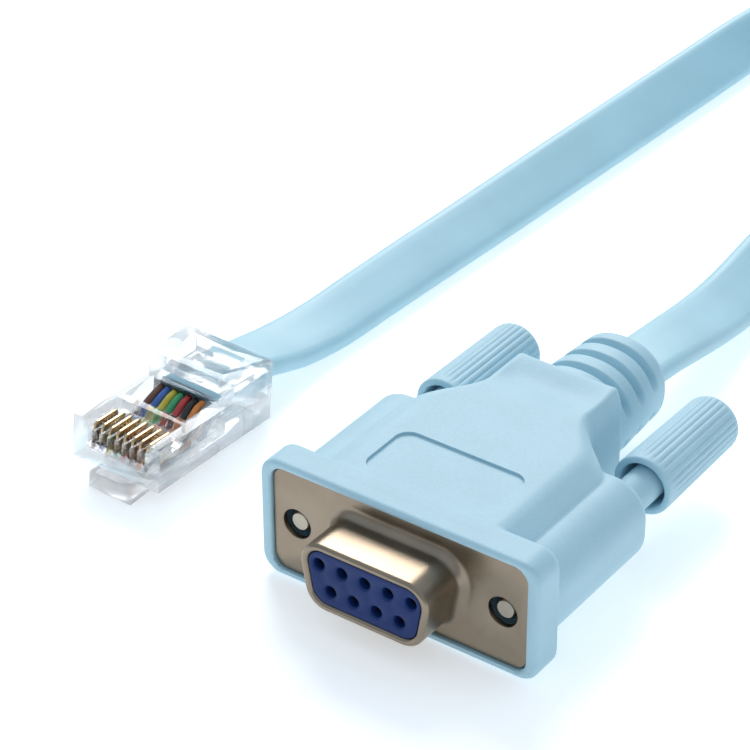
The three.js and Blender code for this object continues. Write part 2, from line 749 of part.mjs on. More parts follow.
const plug = new THREE.Group();
plug.add(piece("plug_body", plugBody(), finish.clear));
plug.add(piece("plug_latch", plugLatch(), finish.clear));
plug.add(piece("cable_in_plug", jacketEnd(), finish.cable));
plugBlades.forEach((i, k) => {
  plug.add(piece(`plug_blade_${k + 1}`, plugBlade(i), finish.gold));
  plug.add(piece(`plug_wire_${k + 1}`, plugWire(i), { color: wireColours[k], roughness: 0.5, metalness: 0 }));
});
const turn = [plugPitch, plugRoll, plugYaw].map(THREE.MathUtils.degToRad);
plug.rotation.set(turn[0], turn[1], turn[2], "ZXY");
plug.position.set(plugX, plugY, 0);
plug.updateMatrixWorld(true);
const lowest = new THREE.Box3().setFromObject(plug.getObjectByName("plug_latch"), true).min.z;
plug.position.z = floor - lowest;
object.add(plug);

const socketRear = Math.max(hoodReach + reliefLength, earReach + knobStandoff + knobLength);
object.position.set(0, (shroudProjection - socketRear) / 2, -floor);

export default object;
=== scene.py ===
"""A flat console cable with a moulded nine-way socket and a clear modular plug.

Lengths are metres. Each piece is first shaped in the socket's own frame, where the front of
the metal plate is at y = 0 and the middle of the socket is at x = z = 0, or in the plug's,
where y goes back from the foot of its front face. It is then moved into the model's frame.
"""
import json
import math
from itertools import product

import bmesh
import bpy
import numpy as np
from bpy.props import FloatProperty, FloatVectorProperty, IntProperty, PointerProperty
from mathutils import Matrix, Vector

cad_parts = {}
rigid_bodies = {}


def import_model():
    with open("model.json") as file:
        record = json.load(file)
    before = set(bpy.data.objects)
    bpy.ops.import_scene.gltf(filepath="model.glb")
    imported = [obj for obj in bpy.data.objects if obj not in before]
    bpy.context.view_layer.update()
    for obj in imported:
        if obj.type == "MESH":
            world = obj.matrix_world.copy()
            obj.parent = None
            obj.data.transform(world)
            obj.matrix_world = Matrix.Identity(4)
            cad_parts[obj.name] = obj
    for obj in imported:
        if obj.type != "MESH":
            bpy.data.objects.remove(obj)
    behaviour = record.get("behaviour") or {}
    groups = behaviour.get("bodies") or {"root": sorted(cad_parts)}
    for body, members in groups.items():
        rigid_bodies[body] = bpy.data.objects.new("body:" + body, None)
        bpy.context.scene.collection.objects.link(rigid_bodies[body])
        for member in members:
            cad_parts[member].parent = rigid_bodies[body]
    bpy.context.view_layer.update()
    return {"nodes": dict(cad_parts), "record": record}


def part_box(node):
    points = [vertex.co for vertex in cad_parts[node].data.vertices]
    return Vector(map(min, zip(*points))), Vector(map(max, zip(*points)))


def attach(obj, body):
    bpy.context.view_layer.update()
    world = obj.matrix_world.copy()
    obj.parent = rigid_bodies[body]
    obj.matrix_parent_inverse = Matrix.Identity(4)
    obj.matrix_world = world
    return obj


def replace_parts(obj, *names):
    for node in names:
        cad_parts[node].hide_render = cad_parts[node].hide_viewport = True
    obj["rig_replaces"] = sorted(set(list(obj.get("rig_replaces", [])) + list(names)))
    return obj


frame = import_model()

bl_info = {
    "name": "Console cable",
    "version": (1, 0, 0),
    "blender": (4, 5, 0),
    "location": "View3D > Sidebar > Console cable",
    "description": "Flat cable with a screw-lock socket and a clear modular plug",
    "category": "Add Mesh",
}

MM = 0.001


def mm(name, description, value):
    """A length setting, given in millimetres and kept in metres."""
    return FloatProperty(name=name, description=description, default=value * MM, unit="LENGTH", precision=5)


def degrees(name, description, value):
    """An angle setting, given in degrees and kept in radians."""
    return FloatProperty(name=name, description=description, default=math.radians(value), unit="ROTATION")


def tint(name, description, *rgb):
    """A colour setting in linear red, green and blue."""
    return FloatVectorProperty(
        name=name, description=description, default=rgb, size=3, subtype="COLOR", min=0, max=1)


def share(name, description, value):
    """A plain number setting."""
    return FloatProperty(name=name, description=description, default=value)


class PlateSettings(bpy.types.PropertyGroup):
    """The metal plate with its D-shaped shroud, and the block of contacts in it."""
    width: mm("Width", "Width of the metal plate", 30.81)
    height: mm("Height", "Height of the metal plate", 12.4)
    thickness: mm("Thickness", "Thickness of the metal plate", 0.6)
    corner: mm("Corner radius", "Radius of the plate's corners", 1.5)
    edge: mm("Edge rounding", "Rounding along the plate's front edge", 0.12)
    screw_spacing: mm("Screw spacing", "Distance between the two screws", 24.99)
    screw_hole: mm("Screw hole", "Diameter of the holes for the screws", 3.4)
    shroud_width: mm("Shroud width", "Width of the shroud along its longer side", 16.33)
    shroud_height: mm("Shroud height", "Height of the shroud", 7.9)
    shroud_corner: mm("Shroud corner radius", "Radius of the shroud's corners", 2.6)
    shroud_depth: mm("Shroud depth", "How far the shroud stands out", 5.95)
    shroud_wall: mm("Shroud wall", "Wall of the shroud with its rolled rim", 0.85)
    shroud_foot: mm("Shroud foot", "Radius of the fillet between the shroud and the plate", 1.2)
    shroud_lean: degrees("Shroud lean", "How far the shroud's sides lean in", 10)
    block_recess: mm("Block recess", "How far the contact block is set back in the shroud", 0.2)
    block_depth: mm("Block depth", "Depth of the contact block", 8.9)
    pitch: mm("Contact pitch", "Distance between contacts in a row", 2.77)
    row_spacing: mm("Row spacing", "Distance between the two rows of contacts", 2.84)
    hole: mm("Contact hole", "Diameter of a contact hole", 1.3)
    countersink: mm("Countersink", "Diameter of a contact hole's countersink", 1.7)
    nickel: tint("Nickel", "Colour of the plated steel", 0.29, 0.235, 0.178)
    blue: tint("Block blue", "Colour of the contact block", 0.002, 0.024, 0.13)
    gold: tint("Gold", "Colour of the gold-plated contacts", 0.70, 0.50, 0.29)


class HoodSettings(bpy.types.PropertyGroup):
    """The moulded hood round the back of the plate."""
    width: mm("Bezel width", "Width of the bezel round the plate", 33.7)
    height: mm("Bezel height", "Height of the bezel round the plate", 14.1)
    corner: mm("Bezel corner radius", "Radius of the bezel's corners", 2.2)
    lip: mm("Lip", "How far the bezel stands ahead of the plate", 0.4)
    bezel_rear: mm("Bezel rear", "Rear of the bezel, from the plate's front", 3.6)
    step: mm("Step", "How far the grip lies under the bezel's top", 0.1)
    grip_top: mm("Grip top", "Width of the grip's flat top", 19.6)
    grip_foot: mm("Grip foot", "Width of the grip where its walls meet the ears", 24.8)
    neck_top: mm("Neck top", "Width of the neck's flat top", 12.2)
    neck_foot: mm("Neck foot", "Width of the neck at its knee", 13.6)
    shoulder_front: mm("Shoulder front", "Where the grip begins to narrow", 17.8)
    shoulder_rear: mm("Shoulder rear", "Where the grip has narrowed to the neck", 25.4)
    rear: mm("Rear", "Rear of the neck", 31.3)
    dip: mm("Neck dip", "How far the neck's top sinks ahead of its rear edge", 0.6)
    ear_height: mm("Ear height", "Height of the ears round the screws", 9.7)
    ear_side: mm("Ear side", "From a screw's axis to the outside of its ear", 4.2)
    ear_rear: mm("Ear rear", "Rear of the ears", 20.4)
    ear_corner: mm("Ear rounding", "Radius of the ears' long outer edges", 4.0)
    bore: mm("Bore", "Diameter of the bores for the screws' stems", 4.6)
    knob_room: mm("Knob room", "Diameter of the room for each knob beside the neck", 7.54)
    label_width: mm("Label width", "Width of the bare label panel", 15.4)
    label_front: mm("Label front", "Front edge of the label panel", 4.2)
    label_rear: mm("Label rear", "Rear edge of the label panel", 12.1)
    label_corner: mm("Label corner radius", "Radius of the label panel's corners", 1.7)
    label_depth: mm("Label depth", "How far the label panel is sunk", 0.3)
    cell: mm("Mesh cell", "Size of a mesh cell on the hood", 0.26)
    colour: tint("Hood colour", "Colour of the moulded plastic", 0.44, 0.65, 0.745)


class ReliefSettings(bpy.types.PropertyGroup):
    """The ribbed strain relief behind the hood."""
    length: mm("Length", "Length of the strain relief", 11.6)
    root_width: mm("Root width", "Width at the hood", 12.2)
    root_height: mm("Root height", "Height at the hood", 11.2)
    tip_width: mm("Tip width", "Width at the rear", 10.8)
    tip_height: mm("Tip height", "Height at the rear", 10.4)
    groove_first: mm("First groove", "From the hood to the middle of the first groove", 2.7)
    groove_pitch: mm("Groove pitch", "Distance between grooves", 3.0)
    groove_width: mm("Groove width", "Width of a groove at the surface", 1.15)
    groove_depth: mm("Groove depth", "Depth of a groove", 1.0)
    grooves: IntProperty(name="Grooves", description="Number of grooves", default=3, min=0)
    spine: mm("Spine", "Height of the plain band along each side", 3.4)


class KnobSettings(bpy.types.PropertyGroup):
    """The two thumbscrews."""
    front: mm("Front", "Front of the knob, from the plate's front", 25.8)
    length: mm("Length", "Length of the knob", 15.2)
    front_diameter: mm("Front diameter", "Diameter at the front", 6.84)
    rear_diameter: mm("Rear diameter", "Diameter at the rear", 6.46)
    cup_diameter: mm("Cup diameter", "Diameter of the hollow front", 5.2)
    cup_depth: mm("Cup depth", "Depth of the hollow front", 3.6)
    end_rounding: mm("End rounding", "Radius of the closed rear end", 1.3)
    stem_diameter: mm("Stem diameter", "Diameter of the stem", 3.9)
    stem_length: mm("Stem length", "Length of the stem ahead of the knob", 9.0)
    screw_diameter: mm("Screw diameter", "Diameter of the steel screw", 2.8)
    screw_tip: mm("Screw tip", "Diameter of the screw's flat tip", 2.0)
    flutes: IntProperty(name="Flutes", description="Number of flutes round a knob", default=28, min=3)
    flute_depth: mm("Flute depth", "Depth of a flute", 0.12)
    steel: tint("Screw steel", "Colour of the screw", 0.40, 0.36, 0.30)


class CableSettings(bpy.types.PropertyGroup):
    """The flat cable, its coil and the two straps round the coil."""
    length: FloatProperty(name="Length", description="Real length of the cable", default=1.8, unit="LENGTH")
    width: mm("Width", "Width of the flat cable", 7.6)
    thickness: mm("Thickness", "Thickness of the flat cable", 2.4)
    coil_x: mm("Coil x", "Sideways place of the coil's middle", 16)
    coil_y: mm("Coil y", "Lengthwise place of the coil's middle", 153)
    coil_lift: mm("Coil lift", "Height of the coil's lower side above the floor", 0.9)
    coil_outer: mm("Outer turn", "Radius of the outer turn's centreline", 42.3)
    coil_join: mm("Join radius", "Radius at which the runs reach the coil", 45.0)
    coil_pitch: mm("Turn pitch", "Distance between turns", 3.2)
    layer_gap: mm("Layer gap", "Gap between the two layers", 0.3)
    turns: share("Turns a layer", "Turns in each layer of the coil", 3.0)
    strap_width: mm("Strap width", "Width of a strap round the coil", 5.0)
    strap_thickness: mm("Strap thickness", "Thickness of a strap", 0.6)
    jacket: tint("Jacket colour", "Colour of the cable's jacket", 0.43, 0.66, 0.75)
    strap: tint("Strap colour", "Colour of the straps", 0.020, 0.022, 0.027)


class PlugSettings(bpy.types.PropertyGroup):
    """The clear modular plug and where it lies."""
    x: mm("X", "Sideways place of the plug's nose", -37.57)
    y: mm("Y", "Lengthwise place of the plug's nose", 0.97)
    z: mm("Z", "Height of the foot of the plug's front face", -4.602)
    yaw: degrees("Yaw", "Turn about the upright", 1.41)
    pitch: degrees("Pitch", "Tilt of its length", -4.38)
    roll: degrees("Roll", "Turn about its length", 2.41)
    length: mm("Length", "Length of the plug", 19.97)
    edge: mm("Edge rounding", "Rounding of the moulded edges", 0.13)
    blade_edge: mm("Blade edge", "Rounding of the blades' edges", 0.05)
    wire_diameter: mm("Wire diameter", "Diameter of an insulated wire", 0.84)
    wire_pitch: mm("Wire pitch", "Distance between wires under the blades", 1.02)
    wire_spread: mm("Wire spread", "Distance between wires at the jacket", 0.92)
    wire_height: mm("Wire height", "Height of the wires under the blades", 1.85)
    jacket_height: mm("Jacket height", "Height of the jacket's middle in the plug", 4.1)
    jacket_depth: mm("Jacket depth", "How far the jacket goes into the plug", 7.5)
    colour: tint("Clear colour", "Tint of the clear plastic", 0.97, 0.98, 1.0)


class StageSettings(bpy.types.PropertyGroup):
    """The camera, the floor and the lights."""
    azimuth: degrees("Azimuth", "The camera's turn to the right of the socket's front", 35.916)
    elevation: degrees("Elevation", "The camera's height above the level", 33.35)
    roll: degrees("Roll", "The camera's roll", -0.328)
    distance: mm("Distance", "From the camera to its target", 297.685)
    target: FloatVectorProperty(
        name="Target", description="The point in the middle of the picture",
        default=(-7.89 * MM, -11.283 * MM, 22.994 * MM), size=3, subtype="XYZ", unit="LENGTH")
    lens: share("Lens", "Focal length in millimetres on a 36 mm sensor", 144)
    glow: share("Floor glow", "Light that the floor gives off, which keeps it white in the shadows", 0.42)
    floor: tint("Floor colour", "Colour of the pale floor", 0.93, 0.94, 0.95)
    sky: share("Sky strength", "Brightness of the sky", 0.86)
    overhead: tint("Overhead", "Colour of the sky overhead", 0.62, 0.74, 0.84)
    horizon: tint("Horizon", "Colour of the sky near the horizon", 0.36, 0.40, 0.44)
    key: share("Key power", "Power of the large light behind, in watts", 6.3)
    key_size: share("Key size", "Diameter of the large light in metres", 0.55)
    key_colour: tint("Key colour", "Colour of the large light", 1.0, 0.95, 0.90)
    key_place: FloatVectorProperty(
        name="Key place", description="Where the large light is, facing the object",
        default=(-0.46, 0.62, 0.62), size=3, subtype="XYZ", unit="LENGTH")


GROUPS = {
    "plate": PlateSettings,
    "hood": HoodSettings,
    "relief": ReliefSettings,
    "knob": KnobSettings,
    "cable": CableSettings,
    "plug": PlugSettings,
    "stage": StageSettings,
}


def settings(group):
    return getattr(bpy.context.scene, f"console_cable_{group}")


# Places

plate_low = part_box("front_plate")[0]
hood_low, hood_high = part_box("hood")


def socket_origin():
    """The middle of the plate's front face in the model's frame."""
    return Vector((0, plate_low[1] + settings("plate").shroud_depth, (hood_low[2] + hood_high[2]) / 2))


def socket_frame():
    return Matrix.Translation(socket_origin())


def plug_frame():
    p = settings("plug")
    turn = Matrix.Rotation(p.yaw, 4, "Z") @ Matrix.Rotation(p.pitch, 4, "X") @ Matrix.Rotation(p.roll, 4, "Y")
    return socket_frame() @ Matrix.Translation((p.x, p.y, p.z)) @ turn


# Shader maths

class Field:
    """A node's output that takes part in Python expressions, each adding its Math node."""

    def __init__(self, finish, socket):
        self.finish = finish
        self.socket = socket

    def math(self, operation, *values):
        return self.finish.node("ShaderNodeMath", {"operation": operation}, dict(enumerate(values)))

    def __add__(self, other):
        return self.math("ADD", self, other)

    def __sub__(self, other):
        return self.math("SUBTRACT", self, other)

    def __rsub__(self, other):
        return self.math("SUBTRACT", other, self)

    def __mul__(self, other):
        return self.math("MULTIPLY", self, other)

    __radd__ = __add__
    __rmul__ = __mul__

    def step(self, low, high):
        """0 below low and 1 above high, with a smooth rise between them."""
        values = {"Value": self, "From Min": low, "From Max": high}
        return self.finish.node("ShaderNodeMapRange", {"interpolation_type": "SMOOTHSTEP"}, values)


class Finish:
    """The nodes of a material or of the sky, and the one way in which nodes are added to them."""

    def __init__(self, owner, surface="Principled BSDF"):
        self.owner = owner
        owner.use_nodes = True
        self.tree = owner.node_tree
        self.surface = self.tree.nodes[surface]

    def feed(self, socket, value):
        if isinstance(value, Field):
            self.tree.links.new(value.socket, socket)
        elif isinstance(value, tuple) and len(value) == 3 and socket.type == "RGBA":
            socket.default_value = (*value, 1)
        else:
            socket.default_value = value

    def node(self, kind, choices=None, values=None, output=0):
        """A node with its choices made and its inputs set or linked. Returns one output."""
        node = self.tree.nodes.new(kind)
        for name, choice in (choices or {}).items():
            setattr(node, name, choice)
        for name, value in (values or {}).items():
            self.feed(node.inputs[name], value)
        return Field(self, node.outputs[output])

    def place(self):
        """Where a point is on the object, in metres."""
        return self.node("ShaderNodeTexCoord", output="Object")

    def noise(self, grain, detail=2.0):
        """Noise from 0 to 1 whose grains are about that many metres across."""
        values = {"Vector": self.place(), "Scale": 1 / grain, "Detail": detail}
        return self.node("ShaderNodeTexNoise", {}, values)

    def mix(self, factor, low, high):
        """A colour between two others."""
        node = self.tree.nodes.new("ShaderNodeMix")
        node.data_type = "RGBA"
        for index, value in ((0, factor), (6, low), (7, high)):
            self.feed(node.inputs[index], value)
        return Field(self, node.outputs[2])

    def bump(self, height, depth, strength=1.0):
        """A normal from a height of 0 to 1 that stands for a depth in metres."""
        values = {"Height": height, "Distance": depth, "Strength": strength}
        return self.node("ShaderNodeBump", {}, values)

    def coat(self, **values):
        """Gives the surface shader its values and links. Returns the material."""
        for name, value in values.items():
            self.feed(self.surface.inputs[name.replace("_", " ")], value)
        return self.owner


def shade(colour, factor):
    return tuple(min(1.0, c * factor) for c in colour)


# How far light goes into the soft PVC of the hood and the jacket
SOFT_PVC = {
    "Subsurface_Weight": 0.12, "Subsurface_Radius": (0.8, 1.0, 1.1), "Subsurface_Scale": 0.9 * MM, "IOR": 1.5}


def moulded_plastic():
    """Light blue PVC from a finely sparked mould, a little paler where it is thin or rubbed."""
    f = Finish(bpy.data.materials.new("hood plastic"))
    colour = tuple(settings("hood").colour)
    cloud = f.noise(6 * MM, 3).step(0.35, 0.65)
    speck = f.noise(0.16 * MM, 2)
    tone = f.mix(cloud, shade(colour, 0.975), shade(colour, 1.02))
    tone = f.mix(speck.step(0.4, 0.62) * 0.35, tone, shade(colour, 0.90))
    grain = f.noise(0.22 * MM, 3) * 0.7 + f.noise(0.7 * MM, 2) * 0.3
    return f.coat(
        Base_Color=tone, Roughness=speck * 0.12 + 0.50, Normal=f.bump(grain, 0.035 * MM), **SOFT_PVC)


def cable_jacket():
    """Smooth extruded PVC with faint drawn lines and hand marks."""
    f = Finish(bpy.data.materials.new("cable jacket"))
    colour = tuple(settings("cable").jacket)
    cloud = f.noise(9 * MM, 2).step(0.3, 0.7)
    tone = f.mix(cloud, shade(colour, 0.975), shade(colour, 1.03))
    waver = f.noise(1.6 * MM, 2)
    return f.coat(
        Base_Color=tone, Roughness=cloud * 0.08 + 0.42, Normal=f.bump(waver, 0.03 * MM), **SOFT_PVC)


def plated_steel(name, colour, roughness):
    """Nickel plate over pressed steel, finely grained and a little cloudy."""
    f = Finish(bpy.data.materials.new(name))
    cloud = f.noise(3.5 * MM, 3).step(0.3, 0.7)
    grain = f.noise(0.13 * MM, 3)
    tone = f.mix(cloud, shade(colour, 0.93), shade(colour, 1.05))
    return f.coat(
        Base_Color=tone, Metallic=1.0, Roughness=grain * 0.10 + cloud * 0.04 + roughness,
        Normal=f.bump(grain, 0.012 * MM))


def gold_plate():
    """Thin gold with small tarnished patches."""
    f = Finish(bpy.data.materials.new("contact gold"))
    colour = tuple(settings("plate").gold)
    patch = f.noise(0.9 * MM, 3).step(0.35, 0.7)
    tone = f.mix(patch, shade(colour, 0.82), colour)
    return f.coat(
        Base_Color=tone, Metallic=1.0, Roughness=patch * -0.08 + 0.30,
        Normal=f.bump(f.noise(0.2 * MM), 0.006 * MM))


def block_plastic():
    """Deep blue moulded plastic with a fine matte grain."""
    f = Finish(bpy.data.materials.new("insulator blue"))
    colour = tuple(settings("plate").blue)
    grain = f.noise(0.3 * MM, 3)
    tone = f.mix(f.noise(2.5 * MM, 2), shade(colour, 0.88), shade(colour, 1.12))
    return f.coat(
        Base_Color=tone, Roughness=grain * 0.1 + 0.45, Specular_IOR_Level=0.3,
        Normal=f.bump(grain, 0.012 * MM))


def clear_polycarbonate():
    """Clear moulded plastic with faint flow marks on its faces."""
    f = Finish(bpy.data.materials.new("clear plastic"))
    flow = f.noise(2.4 * MM, 2)
    return f.coat(
        Base_Color=tuple(settings("plug").colour), Transmission_Weight=1.0, IOR=1.45, Alpha=0.72,
        Roughness=flow.step(0.45, 0.8) * 0.03 + 0.01, Normal=f.bump(flow, 0.02 * MM, 0.6))


def wire_insulation(name, colour):
    """Glossy coloured insulation with faint drawn lines."""
    f = Finish(bpy.data.materials.new(name))
    cloud = f.noise(0.8 * MM, 2)
    tone = f.mix(cloud, shade(colour, 0.85), shade(colour, 1.1))
    return f.coat(Base_Color=tone, Roughness=cloud * 0.1 + 0.30, Normal=f.bump(cloud, 0.006 * MM))


def woven_strap():
    """Black looped strap, its loops as fine rows."""
    f = Finish(bpy.data.materials.new("tie strap"))
    colour = tuple(settings("cable").strap)
    wave = {"Vector": f.place(), "Scale": 700.0, "Distortion": 2.0}
    rows = f.node("ShaderNodeTexWave", {"bands_direction": "Y"}, wave)
    loops = f.noise(0.35 * MM, 3)
    pile = rows * 0.5 + loops * 0.5
    tone = f.mix(pile, shade(colour, 0.5), shade(colour, 2.2))
    return f.coat(Base_Color=tone, Roughness=pile * 0.2 + 0.75, Normal=f.bump(pile, 0.12 * MM))


FINISHES = {}


def finish(name, make, *values):
    """The material of that name, made once."""
    if name not in FINISHES:
        FINISHES[name] = make(*values)
    return FINISHES[name]


def record_colour(slot):
    """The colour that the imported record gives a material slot."""
    return tuple(next(m["base_color"] for m in frame["record"]["materials"] if m["slot"] == slot)[:3])


# Shapes as distances, negative inside

def fuse(a, b, radius):
    """Joins two shapes with a fillet."""
    fillet = np.hypot(np.maximum(radius - a, 0), np.maximum(radius - b, 0))
    return np.maximum(radius, np.minimum(a, b)) - fillet


def trim(a, b, radius):
    """What two shapes share, with its new edge rounded."""
    rounding = np.hypot(np.maximum(radius + a, 0), np.maximum(radius + b, 0))
    return np.minimum(-radius, np.maximum(a, b)) + rounding


def block(x, z, half_width, half_height, corner):
    """A rounded rectangle about the origin."""
    across = np.abs(x) - half_width + corner
    tall = np.abs(z) - half_height + corner
    outside = np.hypot(np.maximum(across, 0), np.maximum(tall, 0))
    return outside + np.minimum(np.maximum(across, tall), 0) - corner


def ease(value, low, high):
    """0 below low and 1 above high, with a smooth rise between them."""
    t = np.clip((value - low) / (high - low), 0, 1)
    return t * t * (3 - 2 * t)


def skin(shape, low, high, cell):
    """The surface of a shape as evenly sized quads, each corner settled on the surface."""
    axes = [np.arange(a - 2 * cell, b + 3 * cell, cell) for a, b in zip(low, high)]
    inside = shape(*np.meshgrid(*axes, indexing="ij")) < 0
    n = np.array(inside.shape) - 1
    shifts = product((0, 1), repeat=3)
    corners = sum(inside[i:n[0] + i, j:n[1] + j, k:n[2] + k].astype(int) for i, j, k in shifts)
    crossed = (corners > 0) & (corners < 8)
    number = np.full(crossed.shape, -1)
    number[crossed] = np.arange(crossed.sum())
    points = np.stack([axis[at] for axis, at in zip(axes, np.nonzero(crossed))], -1) + cell / 2
    quads = []
    for axis in range(3):
        order = (axis, (axis + 1) % 3, (axis + 2) % 3)
        solid = np.moveaxis(inside, order, (0, 1, 2))
        cells = np.moveaxis(number, order, (0, 1, 2))
        start, end = solid[:-1, 1:-1, 1:-1], solid[1:, 1:-1, 1:-1]
        ring = [cells[:, :-1, :-1], cells[:, 1:, :-1], cells[:, 1:, 1:], cells[:, :-1, 1:]]
        quads.append(np.stack([r[start & ~end] for r in ring], -1))
        quads.append(np.stack([r[~start & end] for r in reversed(ring)], -1))
    quads = np.concatenate(quads)

    def settle(p):
        nudge = cell / 20
        rises = [shape(*(p + e).T) - shape(*(p - e).T) for e in np.eye(3) * nudge]
        slope = np.stack(rises, -1) / (2 * nudge)
        steep = np.maximum((slope * slope).sum(-1), 0.2)
        move = (shape(*p.T) / steep)[:, None] * slope
        return p - np.clip(move, -cell / 2, cell / 2)

    tails = np.concatenate([quads[:, k] for k in range(4)] * 2)
    heads = np.concatenate([quads[:, k] for k in (1, 2, 3, 0, 3, 0, 1, 2)])
    ways = np.bincount(tails, minlength=len(points))[:, None]
    for relaxing in (False, False, True, True, False, False):
        if relaxing:
            sums = [np.bincount(tails, points[heads, a], len(points)) for a in range(3)]
            points = (points + np.stack(sums, -1) / ways) / 2
        points = settle(points)
    return points, quads


# Meshes

def smoothed(mesh, sharp=None):
    """Shades a mesh smooth. Edges above the sharp angle, in degrees, stay sharp."""
    mesh.shade_smooth()
    if sharp is not None:
        mesh.set_sharp_from_angle(angle=math.radians(sharp))
    return mesh


def mesh_of(name, points, faces, sharp=None):
    """A mesh of these points and faces."""
    mesh = bpy.data.meshes.new(name)
    mesh.from_pydata([tuple(p) for p in points], [], [tuple(int(i) for i in f) for f in faces])
    return smoothed(mesh, sharp)


def mesh_from(shape, name, sharp):
    """Turns a finished bmesh into a mesh with its faces pointing out."""
    bmesh.ops.recalc_face_normals(shape, faces=shape.faces)
    mesh = bpy.data.meshes.new(name)
    shape.to_mesh(mesh)
    shape.free()
    return smoothed(mesh, sharp)


def place(mesh, matrix, material, body, slot, *nodes):
    """Makes a mesh a piece that rides on a body, has the given material and stands for CAD nodes. The slot is
    not used.
    """
    mesh.transform(matrix)
    mesh.update()
    mesh.materials.clear()
    mesh.materials.append(material)
    piece = bpy.data.objects.new(mesh.name, mesh)
    bpy.context.scene.collection.objects.link(piece)
    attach(piece, body)
    if nodes:
        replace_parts(piece, *nodes)
    return piece


def across(outline, y):
    """The points of an (x, z) outline that stands across y."""
    return [(x, y, z) for x, z in outline]


def band(first, second, count):
    """Quads between two rings of points that start at these numbers."""
    return [(first + k, first + (k + 1) % count, second + (k + 1) % count, second + k) for k in range(count)]


def loft(rings, closed=False):
    """Points and faces through rings of equal size, with flat ends unless it is closed on itself."""
    count = len(rings[0])
    points = [p for ring in rings for p in ring]
    starts = [i * count for i in range(len(rings))]
    pairs = list(zip(starts, starts[1:]))
    if closed:
        pairs.append((starts[-1], starts[0]))
    faces = [quad for a, b in pairs for quad in band(a, b, count)]
    if not closed:
        faces.append(tuple(reversed(range(count))))
        faces.append(tuple(range(starts[-1], starts[-1] + count)))
    return points, faces


def turned(profile, sides, waver=None):
    """A closed shape turned about y from (radius, y) points that start and end on the axis.

    waver(radius, y, angle) may change a radius, as flutes do."""
    rings = []
    for radius, y in profile[1:-1]:
        ring = []
        for k in range(sides):
            angle = 2 * math.pi * k / sides
            r = waver(radius, y, angle) if waver else radius
            ring.append((r * math.cos(angle), y, r * math.sin(angle)))
        rings.append(ring)
    points, faces = loft(rings)
    faces = faces[:-2]
    for tip, start, flip in ((profile[0], 0, True), (profile[-1], len(points) - sides, False)):
        points.append((0, tip[1], 0))
        fan = [(start + k, start + (k + 1) % sides, len(points) - 1) for k in range(sides)]
        faces += [tuple(reversed(f)) for f in fan] if flip else fan
    return points, faces


def outward(points, faces):
    """Turns all faces over if they enclose a negative volume."""
    p = np.array(points, float)
    volume = sum(np.dot(p[f[0]], np.cross(p[f[k]], p[f[k + 1]])) for f in faces for k in range(1, len(f) - 1))
    return points, faces if volume > 0 else [tuple(reversed(f)) for f in faces]


def arc(middle, radius, start, end, steps):
    """Points on an arc, with angles in degrees."""
    angles = np.radians(np.linspace(start, end, steps + 1))
    return [(middle[0] + radius * math.cos(a), middle[1] + radius * math.sin(a)) for a in angles]


def rounded(corners, radius, offset=0.0, steps=10):
    """A convex outline, grown by an offset, with its corners rounded."""
    corners = [Vector(c) for c in corners]
    bend = max(radius + offset, 0.01 * MM)
    points = []
    for i, corner in enumerate(corners):
        inward = (corner - corners[i - 1]).normalized()
        leaving = (corners[(i + 1) % len(corners)] - corner).normalized()
        bisector = Vector((inward.y + leaving.y, -inward.x - leaving.x)).normalized()
        grown = corner + bisector * (offset / (bisector.x * inward.y - bisector.y * inward.x))
        turn = inward.angle(leaving)
        start = grown - inward * (bend * math.tan(turn / 2))
        middle = start + Vector((-inward.y, inward.x)) * bend
        spoke = start - middle
        for k in range(steps + 1):
            a = turn * k / steps
            points.append((middle.x + spoke.x * math.cos(a) - spoke.y * math.sin(a),
                           middle.y + spoke.x * math.sin(a) + spoke.y * math.cos(a)))
    return points


def rectangle(width, height):
    x, z = width / 2, height / 2
    return [(-x, -z), (x, -z), (x, z), (-x, z)]


def shroud_corners(p):
    """The corners of the D outline, widest at the top."""
    top, z = p.shroud_width / 2, p.shroud_height / 2
    foot = top - p.shroud_height * math.tan(p.shroud_lean)
    return [(-foot, -z), (foot, -z), (top, z), (-top, z)]


class Shell:
    """A mesh grown loop by loop, for flat faces with holes and the rings that join them."""

    def __init__(self):
        self.mesh = bmesh.new()

    def loop(self, outline, y):
        return [self.mesh.verts.new(point) for point in across(outline, y)]

    def join(self, first, second):
        count = len(first)
        for k in range(count):
            self.mesh.faces.new((first[k], first[(k + 1) % count], second[(k + 1) % count], second[k]))
        return second

    def grow(self, loop, outlines):
        """Rings of (outline, y) that follow a loop. Returns the last loop."""
        for outline, y in outlines:
            loop = self.join(loop, self.loop(outline, y))
        return loop

    def cover(self, *loops):
        """A flat face inside the first loop, with the other loops as holes in it."""
        edges = []
        for loop in loops:
            for k, vert in enumerate(loop):
                pair = (vert, loop[(k + 1) % len(loop)])
                edges.append(self.mesh.edges.get(pair) or self.mesh.edges.new(pair))
        bmesh.ops.triangle_fill(self.mesh, edges=edges, use_beauty=True)


def circle(x, z, radius, sides=48):
    angles = [2 * math.pi * k / sides for k in range(sides)]
    return [(x + radius * math.cos(a), z + radius * math.sin(a)) for a in angles]


def softened(name, node, width):
    """A copy of a CAD node's mesh with its flat faces whole again and its edges rounded."""
    source = frame["nodes"][node]
    weld = 0.002 * MM
    flat, edge, sharp = 1, 20, 32
    shape = bmesh.new()
    shape.from_mesh(source.data)
    bmesh.ops.transform(shape, matrix=source.matrix_world, verts=shape.verts)
    bmesh.ops.remove_doubles(shape, verts=shape.verts, dist=weld)
    bmesh.ops.dissolve_limit(shape, angle_limit=math.radians(flat), verts=shape.verts, edges=shape.edges)
    edges = [e for e in shape.edges if e.is_manifold and e.calc_face_angle(0) > math.radians(edge)]
    bmesh.ops.bevel(
        shape, geom=edges, offset=width, segments=2, profile=0.5, affect="EDGES", clamp_overlap=True)
    return mesh_from(shape, name, sharp)


# The cable's route

